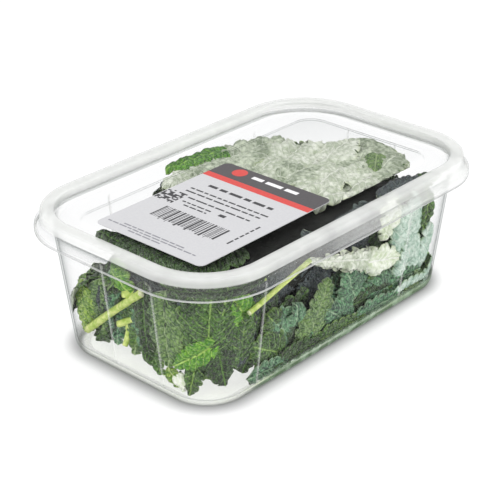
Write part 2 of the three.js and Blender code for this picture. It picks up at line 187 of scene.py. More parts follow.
@dataclass(frozen=True)
class LeafFace:
    """One face of a fresh leaf: a wrinkled, finely hairy, satin skin.

    The main veins are lighter lines, and the finer net between them is sunk, with painted shade in
    the net and painted light on the cells between, as strong as cell says. The colour and shaded are
    a lit and a shaded tone of the skin, mixed by patches and grain: partly the leaf's own random tone
    and partly painted light and shade. Hairs give the skin a whitish bloom. The attribute "blade"
    holds the number of side veins passed, the share of the half width and the half width in
    millimetres, and "flat" the place on the flattened leaf in millimetres with the spacing of the
    side veins. Net, grain, hair and vein sizes are millimetres on the leaf, and the patches are
    millimetres in the pack. The hairs are drawn as tufts, because single ones would be too fine to
    show.
    """
    name: str
    colour: str
    shaded: str
    vein: str
    roughness: float = 0.5
    bloom: float = 0.06
    net_size: float = 1.9
    patch_size: float = 9.0
    grain_size: float = 1.5
    relief: float = 0.45
    cell: float = 0.22
    rim: str = ""
    vein_width: float = 0.38
    vein_stray: float = 0.3
    hair_size: float = 0.8
    hair_colour: str = "E6EEE0"

    def material(self) -> bpy.types.Material:
        """Builds the node material.

        Returns:
            The material.
        """
        material, tree = blank_material(self.name)
        blade = add(tree, "ShaderNodeAttribute", attribute_name="blade")
        flat = add(tree, "ShaderNodeAttribute", attribute_name="flat")
        place = add(tree, "ShaderNodeTexCoord")
        part = add(tree, "ShaderNodeSeparateXYZ", links={0: blade.outputs["Vector"]})
        spot = add(tree, "ShaderNodeSeparateXYZ", links={0: flat.outputs["Vector"]})
        grain = add(tree, "ShaderNodeTexNoise",
                    {"Scale": 1 / self.grain_size, "Detail": 3.0, "Roughness": 0.6},
                    {"Vector": flat.outputs["Vector"]})
        strayed = add(tree, "ShaderNodeMath", {1: self.vein_stray},
                      {0: grain.outputs["Fac"], 2: part.outputs[0]}, operation="MULTIPLY_ADD")
        wrapped = add(tree, "ShaderNodeMath", {1: 0.65, 2: -0.35}, {0: strayed.outputs[0]}, operation="WRAP")
        from_vein = add(tree, "ShaderNodeMath", {1: self.vein_stray / 2}, {0: wrapped.outputs[0]},
                        operation="SUBTRACT")
        beside = add(tree, "ShaderNodeMath", links={0: from_vein.outputs[0]}, operation="ABSOLUTE")
        side_way = add(tree, "ShaderNodeMath", links={0: beside.outputs[0], 1: spot.outputs[2]},
                       operation="MULTIPLY")
        side_vein = add(tree, "ShaderNodeMapRange", {1: self.vein_width, 2: 0.05, 3: 0.0, 4: 0.5},
                        {0: side_way.outputs[0]}, interpolation_type="SMOOTHSTEP")
        across = add(tree, "ShaderNodeMath", links={0: part.outputs[1], 1: part.outputs[2]},
                     operation="MULTIPLY")
        off_middle = add(tree, "ShaderNodeMath", links={0: across.outputs[0]}, operation="ABSOLUTE")
        midrib = add(tree, "ShaderNodeMapRange", {1: self.vein_width * 1.5, 2: 0.15, 3: 0.0, 4: 0.85},
                     {0: off_middle.outputs[0]}, interpolation_type="SMOOTHSTEP")
        off_axis = add(tree, "ShaderNodeMath", links={0: part.outputs[1]}, operation="ABSOLUTE")
        rim = add(tree, "ShaderNodeMapRange", {1: 0.88, 2: 1.0, 3: 0.0, 4: 0.45}, {0: off_axis.outputs[0]})
        veins = add(tree, "ShaderNodeMath", links={0: side_vein.outputs[0], 1: midrib.outputs[0]},
                    operation="MAXIMUM")
        net = add(tree, "ShaderNodeTexVoronoi", {"Scale": 1 / self.net_size, "Randomness": 0.9},
                  {"Vector": flat.outputs["Vector"]}, feature="DISTANCE_TO_EDGE", voronoi_dimensions="2D")
        swell = add(tree, "ShaderNodeMapRange", {1: 0.0, 2: 0.3}, {0: net.outputs["Distance"]},
                    interpolation_type="SMOOTHSTEP")
        patches = add(tree, "ShaderNodeTexNoise",
                      {"Scale": 1 / (self.patch_size * MM), "Detail": 4.0, "Roughness": 0.7},
                      {"Vector": place.outputs["Object"]})
        light = add(tree, "ShaderNodeMath", links={0: patches.outputs["Fac"], 1: grain.outputs["Fac"]},
                    operation="ADD")
        # Painted light and shade: the cells' middles are lit and the sunk net between them is shaded.
        cell_light = add(tree, "ShaderNodeMath", {1: self.cell}, {0: swell.outputs[0], 2: light.outputs[0]},
                         operation="MULTIPLY_ADD")
        light_shade_and_mottle = add(tree, "ShaderNodeMapRange", {1: 0.83 + self.cell / 2, 2: 1.16 + self.cell},
                     {0: cell_light.outputs[0]})
        # The lit colour and the shaded one are mixed: painted light and shade, partly the leaf's own tone.
        base = add(tree, "ShaderNodeMix", {6: linear(self.shaded), 7: linear(self.colour)},
                   {0: light_shade_and_mottle.outputs[0]}, data_type="RGBA")
        rimmed = add(tree, "ShaderNodeMix", {7: linear(self.rim or self.vein)},
                     {0: rim.outputs[0], 6: base.outputs[2]}, data_type="RGBA")
        veined = add(tree, "ShaderNodeMix", {7: linear(self.vein)},
                     {0: veins.outputs[0], 6: rimmed.outputs[2]}, data_type="RGBA")
        hairs = add(tree, "ShaderNodeTexNoise", {"Scale": 1 / self.hair_size, "Detail": 2.0},
                    {"Vector": flat.outputs["Vector"]})
        tufts = add(tree, "ShaderNodeMapRange", {1: 0.52, 2: 0.68, 3: self.bloom * 0.3, 4: self.bloom * 2.2},
                    {0: hairs.outputs["Fac"]})
        colour = add(tree, "ShaderNodeMix", {7: linear(self.hair_colour)},
                     {0: tufts.outputs[0], 6: veined.outputs[2]}, data_type="RGBA")
        height = add(tree, "ShaderNodeMath", {1: -0.8}, {0: veins.outputs[0], 2: swell.outputs[0]},
                     operation="MULTIPLY_ADD")
        bump = add(tree, "ShaderNodeBump", {"Strength": 0.9, "Distance": self.relief * MM},
                   {"Height": height.outputs[0]})
        skin = add(tree, "ShaderNodeBsdfPrincipled",
                   {"Roughness": self.roughness, "Specular IOR Level": 0.4, "Sheen Weight": 0.1,
                    "Sheen Roughness": 0.4},
                   {"Base Color": colour.outputs[2], "Normal": bump.outputs[0]})
        add(tree, "ShaderNodeOutputMaterial", links={"Surface": skin.outputs[0]})
        return material


@dataclass(frozen=True)
class MottledSkin:
    """A plain mottled surface, for stems and for the shaded inside of the heap.

    Its colour changes softly over a few millimetres and its relief is fine and fibrous.
    """
    name: str
    light: str
    dark: str
    roughness: float
    patch: float
    stretch: tuple[float, float, float] = (1.0, 1.0, 1.0)
    relief: float = 0.3

    def material(self) -> bpy.types.Material:
        """Builds the node material.

        Returns:
            The material.
        """
        material, tree = blank_material(self.name)
        place = add(tree, "ShaderNodeTexCoord")
        scaled = add(tree, "ShaderNodeMapping", {"Scale": self.stretch}, {"Vector": place.outputs["Object"]})
        patches = add(tree, "ShaderNodeTexNoise", {"Scale": 1 / (self.patch * MM), "Detail": 4.0},
                      {"Vector": scaled.outputs[0]})
        share = add(tree, "ShaderNodeMapRange", {1: 0.35, 2: 0.65}, {0: patches.outputs["Fac"]})
        colour = add(tree, "ShaderNodeMix", {6: linear(self.dark), 7: linear(self.light)},
                     {0: share.outputs[0]}, data_type="RGBA")
        bump = add(tree, "ShaderNodeBump", {"Strength": 0.6, "Distance": self.relief * MM},
                   {"Height": patches.outputs["Fac"]})
        skin = add(tree, "ShaderNodeBsdfPrincipled",
                   {"Roughness": self.roughness, "Specular IOR Level": 0.4},
                   {"Base Color": colour.outputs[2], "Normal": bump.outputs[0]})
        add(tree, "ShaderNodeOutputMaterial", links={"Surface": skin.outputs[0]})
        return material


@dataclass(frozen=True)
class CoatedPaper:
    """Thermal label paper or the ink on it: a smooth satin coat over fine paper fibre."""
    name: str
    colour: str
    shade: str
    roughness: float = 0.5
    fibre: float = 0.8

    def material(self) -> bpy.types.Material:
        """Builds the node material.

        Returns:
            The material.
        """
        material, tree = blank_material(self.name)
        place = add(tree, "ShaderNodeTexCoord")
        fibres = add(tree, "ShaderNodeTexNoise", {"Scale": 1 / (self.fibre * MM), "Detail": 3.0},
                     {"Vector": place.outputs["Object"]})
        share = add(tree, "ShaderNodeMapRange", {1: 0.35, 2: 0.65}, {0: fibres.outputs["Fac"]})
        colour = add(tree, "ShaderNodeMix", {6: linear(self.shade), 7: linear(self.colour)},
                     {0: share.outputs[0]}, data_type="RGBA")
        bump = add(tree, "ShaderNodeBump", {"Strength": 0.25, "Distance": 0.05 * MM},
                   {"Height": fibres.outputs["Fac"]})
        coat = add(tree, "ShaderNodeBsdfPrincipled",
                   {"Roughness": self.roughness, "Specular IOR Level": 0.5},
                   {"Base Color": colour.outputs[2], "Normal": bump.outputs[0]})
        add(tree, "ShaderNodeOutputMaterial", links={"Surface": coat.outputs[0]})
        return material


class Tone(Enum):
    """The greens of the leaves' upper faces, and the pale greens of their undersides, with SHADE as painted
    shade.
    """
    BRIGHT = LeafFace("lemon_balm_leaf_bright", "80B636", "3E7C14", "C6E67A")
    FRESH = LeafFace("lemon_balm_leaf_fresh", "6CA834", "2C5F16", "A8D468")
    MID = LeafFace("lemon_balm_leaf_mid", "547F30", "1C3414", "9EC266")
    TEAL = LeafFace("lemon_balm_leaf_bluish", "6CA272", "1F4230", "B0CFA8", bloom=0.09)
    DUSK = LeafFace("lemon_balm_leaf_dusky", "82A25A", "3C5C30", "B0C690")
    OLIVE = LeafFace("lemon_balm_leaf_olive", "A5C255", "527C2A", "CEE094")
    DARK = LeafFace("lemon_balm_leaf_dark", "3A5C24", "101E0C", "6C9448")
    SHADE = LeafFace("lemon_balm_leaf_shaded", "4F5A5E", "2A3034", "66766C", bloom=0.03)
    MIST = LeafFace("lemon_balm_underside_bluish", "D6E6DA", "8FB09C", "ECF3E8", 0.6, 0.08, 2.6, 10.0, 2.6,
                    0.35, 0.1, "8DB05A")
    CREAM = LeafFace("lemon_balm_underside_cream", "FCFEF4", "CFDBBA", "FEFEFA", 0.6, 0.05, 3.2, 14.0, 3.0,
                     0.35, 0.1, "E2ECC4")
    PALE = LeafFace("lemon_balm_underside_pale", "EEF1E4", "B4BEA6", "F6F8EE", 0.6, 0.05, 3.2, 12.0, 3.0,
                    0.4, 0.16, "DCE8B8")
    SAGE = LeafFace("lemon_balm_underside_sage", "D6DEC8", "8A967E", "E8EEDC", 0.6, 0.05, 3.2, 12.0, 3.0,
                    0.4, 0.16, "BCD08C")


# ---- Mesh making ----


class MeshPiece:
    """A mesh in the making: one bmesh, in millimetres, that ends as one object of the pack."""

    def __init__(self, name: str, materials: Sequence[bpy.types.Material]) -> None:
        """Starts an empty piece.

        Args:
            name: The object's name.
            materials: The materials of its slots, in order.
        """
        self.name = name
        self.materials = list(materials)
        self.bm = bmesh.new()

    def join(self, other: bmesh.types.BMesh) -> None:
        """Adds another bmesh to the piece and frees it.

        Args:
            other: The bmesh, whose material slots are this piece's.
        """
        mesh = bpy.data.meshes.new("part_of_" + self.name)
        other.to_mesh(mesh)
        other.free()
        self.bm.from_mesh(mesh)
        bpy.data.meshes.remove(mesh)

    def finish(self, replaces: Iterable[str] = (), smooth: bool = True) -> bpy.types.Object:
        """Turns the bmesh into an object that rides on the pack's one body.

        Args:
            replaces: The frame's nodes that the piece stands for.
            smooth: Whether faces are shaded smooth.

        Returns:
            The object.
        """
        bmesh.ops.transform(self.bm, matrix=Matrix.Scale(MM, 4), verts=self.bm.verts)
        for face in self.bm.faces:
            face.smooth = smooth
        mesh = bpy.data.meshes.new(self.name)
        self.bm.to_mesh(mesh)
        self.bm.free()
        for material in self.materials:
            mesh.materials.append(material)
        piece = bpy.data.objects.new(self.name, mesh)
        bpy.context.scene.collection.objects.link(piece)
        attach(piece, "root")
        names = list(replaces)
        if names:
            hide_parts(*names)
        LOG.info("%s: %d faces", self.name, len(mesh.polygons))
        return piece


@dataclass(frozen=True)
class Outline:
    """The rounded rectangle that every level of the tub and the lid is set in from."""
    length: float = 190.0
    width: float = 120.0
    corner_radius: float = 34.4
    corner_segments: int = 16

    @property
    def centre(self) -> Vector:
        """The middle of the first corner's arc."""
        return Vector((self.length / 2 - self.corner_radius, self.width / 2 - self.corner_radius))

    def face(self, bm: bmesh.types.BMesh) -> bmesh.types.BMFace:
        """Makes the rounded rectangle as one face on the ground, looking up.

        Args:
            bm: The bmesh that takes it.

        Returns:
            The face.
        """
        old = set(bm.faces)
        corners = bmesh.ops.create_grid(bm, x_segments=1, y_segments=1, size=0.5)["verts"]
        bmesh.ops.scale(bm, vec=(self.length, self.width, 1), verts=corners)
        bmesh.ops.bevel(bm, geom=corners, offset=self.corner_radius, offset_type="OFFSET",
                        segments=self.corner_segments, profile=0.5, affect="VERTICES", material=-1)
        return next(face for face in bm.faces if face not in old)

    def outward(self, point: Vector) -> tuple[Vector, Vector]:
        """Splits a point of the outline into its fixed part and its way out.

        Args:
            point: Any point on a level.

        Returns:
            The point of the rectangle of the corners' middles that it belongs to, and the unit
            vector from there to it.
        """
        middle = self.centre
        fixed = Vector((min(max(point.x, -middle.x), middle.x), min(max(point.y, -middle.y), middle.y)))
        return fixed, (point.xy - fixed).normalized()

    def place(self, point: Vector, inset: float, z: float) -> Vector:
        """Moves a point of one level to another.

        Args:
            point: The point.
            inset: How far the new level is set in.
            z: The new level's height.

        Returns:
            The point on the new level.
        """
        fixed, out = self.outward(point)
        moved = fixed + out * (self.corner_radius - inset)
        return Vector((moved.x, moved.y, z))


def next_level(bm: bmesh.types.BMesh, rim: Sequence[bmesh.types.BMEdge],
               place: Callable[[Vector], Vector]) -> list[bmesh.types.BMEdge]:
    """Extrudes a closed rim and moves the new rim to its place.

    Args:
        bm: The bmesh.
        rim: The edges of the last level.
        place: Turns a point of the last level into its point on the new one.

    Returns:
        The edges of the new level.
    """
    made = bmesh.ops.extrude_edge_only(bm, edges=list(rim))["geom"]
    verts = {v for v in made if isinstance(v, bmesh.types.BMVert)}
    for vert in verts:
        vert.co = place(vert.co)
    return [e for e in made if isinstance(e, bmesh.types.BMEdge) and set(e.verts) <= verts]


def rounded(start: tuple[float, float], corner: tuple[float, float], end: tuple[float, float],
            steps: int = 5) -> list[tuple[float, float]]:
    """The points of a soft corner between two straight stretches of a profile.

    Args:
        start: Where the bend starts, as inset and height.
        corner: The point that the bend cuts off.
        end: Where the bend ends.
        steps: How many stretches it has.

    Returns:
        The points, both ends included.
    """
    points = []
    for i in range(steps + 1):
        t = i / steps
        weights = ((1 - t) ** 2, 2 * t * (1 - t), t * t)
        points.append(tuple(sum(w * p[k] for w, p in zip(weights, (start, corner, end)))
                            for k in (0, 1)))
    return points


# ---- Tub ----


@dataclass
class Tub:
    """The tapered tub: ring foot, ribbed walls, flange and the upstand under the lid.

    The wall_top, flange and upstand are each an inset and a height. The long ribs are given by x on
    the front wall and the short ones by y on the left wall, and the opposite walls have them turned
    half round. The bottom's haze, a painted reflection of the leaves that lie there, grows with x
    between the two values of filled_from.
    """
    outline: Outline
    wall: float = 0.8
    foot_inset: float = 17.6
    foot_width: float = 3.0
    foot_height: float = 1.2
    foot_edge: float = 1.0
    bottom_radius: float = 3.6
    wall_top: tuple[float, float] = (7.8, 56.0)
    flange: tuple[float, float] = (1.1, 57.5)
    flange_thickness: float = 0.8
    upstand: tuple[float, float] = (5.6, 63.9)
    painted_leaf_reflection: float = 0.75
    filled_from: tuple[float, float] = (-60.0, -40.0)
    rib_width: float = 1.7
    rib_height: float = 0.55
    long_ribs: tuple[float, float] = (-54.0, 41.0)
    short_ribs: tuple[float, float] = (-21.0, 7.0)
    haze: dict[str, float] = field(default_factory=lambda: {"wall": 0.002, "rib": 0.3, "bend": 0.05,
                                                            "foot": 0.3, "floor": 0.13, "rim": 0.01})

    EDGE_SLOT, BEND_SLOT, BASE_SLOT = 1, 2, 3
    BEND_REACH = 3.0
    RIB_CUTS = (-0.62, -0.42, -0.2, 0.2, 0.42, 0.62)

    def wall_inset(self, z: float) -> float:
        """How far the wall's outer face is set in from the outline at height z."""
        foot = self.foot_inset - self.bottom_radius + 0.3
        return foot + (self.wall_top[0] - foot) * z / self.wall_top[1]

    def rib_share(self, point: Vector) -> float:
        """How far a rib rises at a place round the wall.

        Args:
            point: The place, on any level.

        Returns:
            From 0 beside the ribs to 1 on the middle of one.
        """
        middle = self.outline.centre
        if abs(point.x) < middle.x:
            along, ribs = (point.x if point.y < 0 else -point.x), self.long_ribs
        else:
            along, ribs = (-point.y if point.x > 0 else point.y), self.short_ribs
        nearest = min(abs(along - rib) for rib in ribs)
        return 1 - smooth_step(0.2, self.rib_width / 2 + 0.1, nearest)

    def milkiness(self, name: str, point: Vector) -> float:
        """How milky a level is at a point, with a painted reflection of the leaves added in the bend and
        foot where they lie.
        """
        # Painted reflection: extra milk, green in the bend's material, where the leaves lie on the bottom.
        filled = self.painted_leaf_reflection * self.filled_share(point)
        return self.haze[name] + (filled if name in ("bend", "foot") else 0.0)

    def filled_share(self, point: Vector) -> float:
        """How far the leaves at a point reach down to the tub's bottom, from 0 to 1."""
        return smooth_step(*self.filled_from, point.x)

    def outside(self) -> list[tuple[float, float, float, str]]:
        """The outer profile from the middle of the base up.

        Returns:
            Each level's inset, height, rib share and the name of its haze.
        """
        top = self.wall_top[1]
        low_rib, high_rib = self.bottom_radius + 1, top - 3
        foot = rounded((self.foot_inset, 0), (self.wall_inset(0), 0),
                       (self.wall_inset(self.bottom_radius), self.bottom_radius), 7)
        levels = [(self.foot_inset + self.foot_width + self.foot_height, self.foot_height, 0, "floor"),
                  (self.foot_inset + self.foot_width, 0, 0, "floor")]
        levels += [(a, z, 0, "foot" if z < self.foot_edge else "bend") for a, z in foot]
        for z, rib in ((low_rib, 0), (low_rib + 2, 1), (low_rib + 8, 1), (top / 2, 1), (high_rib - 2, 1),
                       (high_rib, 1), (high_rib + 2, 0)):
            levels.append((self.wall_inset(z), z, rib, "bend" if z == low_rib else "wall"))
        flange, z = self.flange
        thick = self.flange_thickness
        upstand, crest = self.upstand
        levels += [(a, b, 0, "rim") for a, b in (
            (self.wall_top[0] - 0.2, z - 0.2), (flange + 0.6, z), (flange + 0.2, z),
            *rounded((flange + 0.2, z), (flange, z), (flange, z + thick / 2), 2)[1:],
            *rounded((flange, z + thick / 2), (flange, z + thick), (flange + 0.2, z + thick), 2)[1:],
            (upstand + 0.6, z + thick), (upstand + 0.2, crest - 0.6), (upstand + 0.7, crest))]
        return levels

    def inside(self) -> list[tuple[float, float, float, str]]:
        """The inner profile from the top of the upstand down to the floor.

        Returns:
            Each level's inset, height, rib share and the name of its haze.
        """
        wall = self.wall
        upstand, crest = self.upstand
        low = self.bottom_radius + 1
        levels = [(upstand + 1.4, crest, 0, "rim"), (upstand + 1.9, crest - 0.6, 0, "rim"),
                  (self.wall_top[0] + wall, self.wall_top[1], 0, "wall"),
                  (self.wall_inset(low + 2) + wall, low + 2, 0, "wall")]
        levels += [(a, z, 0, "floor") for a, z in rounded(
            (self.wall_inset(low) + wall, low),
            (self.wall_inset(self.foot_height) + wall, self.foot_height + wall),
            (self.foot_inset + 1.5, self.foot_height + wall), 7)]
        return levels

    @property
    def floor_top(self) -> float:
        """A height just above the inside of the base."""
        return self.foot_height + self.wall + 0.3

    def build(self, plastic: bpy.types.Material, edge: bpy.types.Material, bend: bpy.types.Material,
              base: bpy.types.Material) -> bpy.types.Object:
        """Builds and dresses the tub.

        Args:
            plastic: The material it is moulded in.
            edge: The same plastic round the outer foot where no leaves lie, with a greyer milk as painted
                shade at the foot's edge.
            bend: The same plastic in the bend above the foot, with a green milk as a painted reflection of
                the leaves.
            base: The same plastic in the base, with a green milk as painted light that the leaves throw on
                it.

        Returns:
            The tub's object.
        """
        piece = MeshPiece("clear_tub", [plastic, edge, bend, base])
        bm = piece.bm
        milky = bm.verts.layers.float.new("haze")
        self.outline.face(bm)
        self.cut_for_ribs(bm)
        rim = [edge for edge in bm.edges if edge.is_boundary]
        levels = self.outside() + self.inside()
        for vert in bm.verts:
            vert.co = self.outline.place(vert.co, levels[0][0], levels[0][1]) \
                if vert.is_boundary else Vector((vert.co.x, vert.co.y, levels[0][1]))
            vert[milky] = self.milkiness(levels[0][3], vert.co)
        for inset, z, rib, haze in levels[1:]:
            def place(point: Vector) -> Vector:
                """The point's place on this level, out on a rib where there is one."""
                return self.outline.place(point, inset - rib * self.rib_height * self.rib_share(point), z)

            rim = next_level(bm, rim, place)
            for vert in {v for edge in rim for v in edge.verts}:
                on_rib = rib * self.haze["rib"] * self.rib_share(vert.co)
                vert[milky] = self.milkiness(haze, vert.co) + on_rib
        bmesh.ops.edgeloop_fill(bm, edges=rim)
        bmesh.ops.recalc_face_normals(bm, faces=bm.faces)
        for face in bm.faces:
            middle = face.calc_center_median()
            fixed, _ = self.outline.outward(middle)
            past_foot = (middle.xy - fixed).length - self.outline.corner_radius + self.foot_inset
            if past_foot < 0 and middle.z < self.floor_top:
                face.material_index = self.BASE_SLOT
            elif past_foot > 0 and face.normal.z < 0 and middle.z < self.bottom_radius + self.BEND_REACH:
                bare_edge = middle.z < self.foot_edge and self.filled_share(middle) < 0.5
                face.material_index = self.EDGE_SLOT if bare_edge else self.BEND_SLOT
        return piece.finish(["tub"])

    def cut_for_ribs(self, bm: bmesh.types.BMesh) -> None:
        """Cuts the base across wherever a rib needs points.

        Args:
            bm: The bmesh that holds the base.
        """
        steps = [self.rib_width * share for share in self.RIB_CUTS]
        cuts = [(rib * turn + step, 0) for rib in self.long_ribs for turn in (1, -1) for step in steps]
        cuts += [(0, rib * turn + step) for rib in self.short_ribs for turn in (1, -1) for step in steps]
        for x, y in cuts:
            normal = Vector((1, 0, 0)) if x else Vector((0, 1, 0))
            bmesh.ops.bisect_plane(bm, geom=bm.verts[:] + bm.edges[:] + bm.faces[:],
                                   plane_co=Vector((x, y, 0)), plane_no=normal)


# ---- Lid ----


@dataclass
class Lid:
    """The clip-on lid: skirt, shoulder, raised ring, sunk panel and the panel's raised middle.

    The shoulder and ring_outer are each an inset and a height. The ring_top is its outer inset, its
    inner inset and its height, and ring_inner the insets of its inner side at the top and the foot.
    """
    outline: Outline
    plateau: Outline
    wall: float = 0.8
    lower_edge: float = 56.3
    skirt_top: float = 58.3
    shoulder: tuple[float, float] = (1.7, 59.4)
    ring_outer: tuple[float, float] = (2.7, 64.1)
    ring_top: tuple[float, float, float] = (3.9, 7.7, 65.1)
    ring_inner: tuple[float, float] = (8.9, 9.9)
    ring_bend: float = 0.9
    panel: float = 60.0
    front_right_haze: float = 0.4
    front_right_from: tuple[float, float] = (-45.0, 10.0)
    plateau_z: float = 60.7
    plateau_slope: float = 0.9
    haze: dict[str, float] = field(default_factory=lambda: {"panel": 0.002, "inner": 0.12, "crest": 0.5,
                                                            "outer": 0.4, "lower": 0.02, "skirt": 0.02,
                                                            "groove": 0.2, "edge": 0.6})

    GROOVE_SLOT = 1
    GROOVE_HEIGHTS = (0.35, 1.0)

    def milkiness(self, name: str, point: Vector) -> float:
        """How milky a level of this name is at a point: more below the ring at the front right."""
        front_right_milk = self.front_right_haze * smooth_step(*self.front_right_from, point.x) if point.y < 0 else 0.0
        return self.haze[name] + (front_right_milk if name in ("lower", "skirt") else 0.0)

    def top(self) -> list[tuple[float, float, str]]:
        """The upper profile from the panel over the ring down to the lower edge.

        Returns:
            Each level's inset, height and the name of its haze.
        """
        foot_top, foot = self.ring_inner
        outer, inner, crown = self.ring_top
        ring_outer, ring_z = self.ring_outer
        shoulder, shoulder_z = self.shoulder
        bend = self.ring_bend
        levels = [(foot + 3, self.panel, "panel"), (foot + bend + 0.2, self.panel, "panel")]
        levels += [(a, z, "inner") for a, z in rounded(
            (foot + bend, self.panel), (foot, self.panel), (foot, self.panel + bend), 3)]
        levels += [(a, z, "crest") for a, z in rounded(
            (foot_top, crown - 1), (foot_top, crown), (inner, crown))]
        levels += [(a, z, "crest") for a, z in rounded(
            (outer, crown), (ring_outer, crown), (ring_outer, ring_z))]
        levels += [(ring_outer - 0.15, ring_z - 1.4, "outer"), (ring_outer - 0.25, ring_z - 2.7, "outer"),
                   (ring_outer - 0.3, ring_z - 3.1, "lower"),
                   (shoulder + 0.5, shoulder_z + 0.5, "lower")]
        levels += [(a, z, "skirt") for a, z in rounded(
            (shoulder, shoulder_z), (0, shoulder_z - 0.2), (0, self.skirt_top))]
        levels += [(0, self.lower_edge + 1.0, "skirt"), (0, self.lower_edge + 0.9, "groove"),
                   (0, self.lower_edge + 0.45, "groove"), (0, self.lower_edge + 0.3, "edge"),
                   (0.05, self.lower_edge, "edge")]
        return levels

    def under(self) -> list[tuple[float, float, str]]:
        """The lower profile from the lower edge back to the panel, a wall's thickness inside.

        Returns:
            Each level's inset, height and the name of its haze.
        """
        top = self.top()
        levels = [(self.wall, self.lower_edge, top[-1][2])]
        for i in range(len(top) - 2, -1, -1):
            before, point, after = top[max(i - 1, 0)], top[i], top[i + 1]
            way_in = Vector((point[0] - before[0], point[1] - before[1]))
            way_out = Vector((after[0] - point[0], after[1] - point[1]))
            way_in = way_out if i == 0 else way_in
            mean = way_in.normalized() + way_out.normalized()
            mitre = 2 * self.wall / mean.length_squared
            levels.append((point[0] - mean.y * mitre, point[1] + mean.x * mitre, point[2]))
        return levels

    def build(self, plastic: bpy.types.Material, groove: bpy.types.Material) -> bpy.types.Object:
        """Builds and dresses the lid.

        Args:
            plastic: The material it is moulded in.
            groove: The same plastic in the fold above the lower edge, with a dark milk as painted shade in
                the fold.

        Returns:
            The lid's object.
        """
        piece = MeshPiece("clear_lid", [plastic, groove])
        bm = piece.bm
        milky = bm.verts.layers.float.new("haze")
        levels = self.top() + self.under()
        self.outline.face(bm)
        first = [edge for edge in bm.edges if edge.is_boundary]
        for vert in bm.verts:
            vert.co = self.outline.place(vert.co, *levels[0][:2])
            vert[milky] = self.milkiness(levels[0][2], vert.co)
        bmesh.ops.delete(bm, geom=bm.faces[:], context="FACES_ONLY")
        rim = first
        for inset, z, haze in levels[1:]:
            rim = next_level(bm, rim, lambda point: self.outline.place(point, inset, z))
            for vert in {v for edge in rim for v in edge.verts}:
                vert[milky] = self.milkiness(haze, vert.co)
        self.close_panel(bm, first, 0.0, milky)
        self.close_panel(bm, rim, -self.wall, milky)
        bmesh.ops.recalc_face_normals(bm, faces=bm.faces)
        low, high = self.GROOVE_HEIGHTS
        for face in bm.faces:
            if low < face.calc_center_median().z - self.lower_edge < high:
                face.material_index = self.GROOVE_SLOT
        return piece.finish(["lid"])

    def close_panel(self, bm: bmesh.types.BMesh, rim: Sequence[bmesh.types.BMEdge], drop: float,
                    milky: bmesh.types.BMLayerItem) -> None:
        """Closes the panel inside a rim with its raised middle.

        Args:
            bm: The bmesh.
            rim: The edges of the panel's outer level.
            drop: How far this face of the panel is below the upper one.
            milky: The layer that holds the haze.
        """
        old = set(bm.verts)
        face = self.plateau.face(bm)
        inner = list(face.edges)
        for vert in face.verts:
            vert.co.z = self.plateau_z + drop
        rounds = ((0.12, -0.03), (self.plateau_slope - 0.12, self.panel - self.plateau_z + 0.03),
                  (self.plateau_slope, self.panel - self.plateau_z), (self.plateau_slope + 1.5, None))
        for grow, fall in rounds:
            z = self.panel + drop if fall is None else self.plateau_z + drop + fall
            inner = next_level(bm, inner, lambda point: self.plateau.place(point, -grow, z))
        bmesh.ops.bridge_loops(bm, edges=inner + list(rim))
        for vert in set(bm.verts) - old:
            vert[milky] = self.haze["panel"]


# ---- The room inside ----


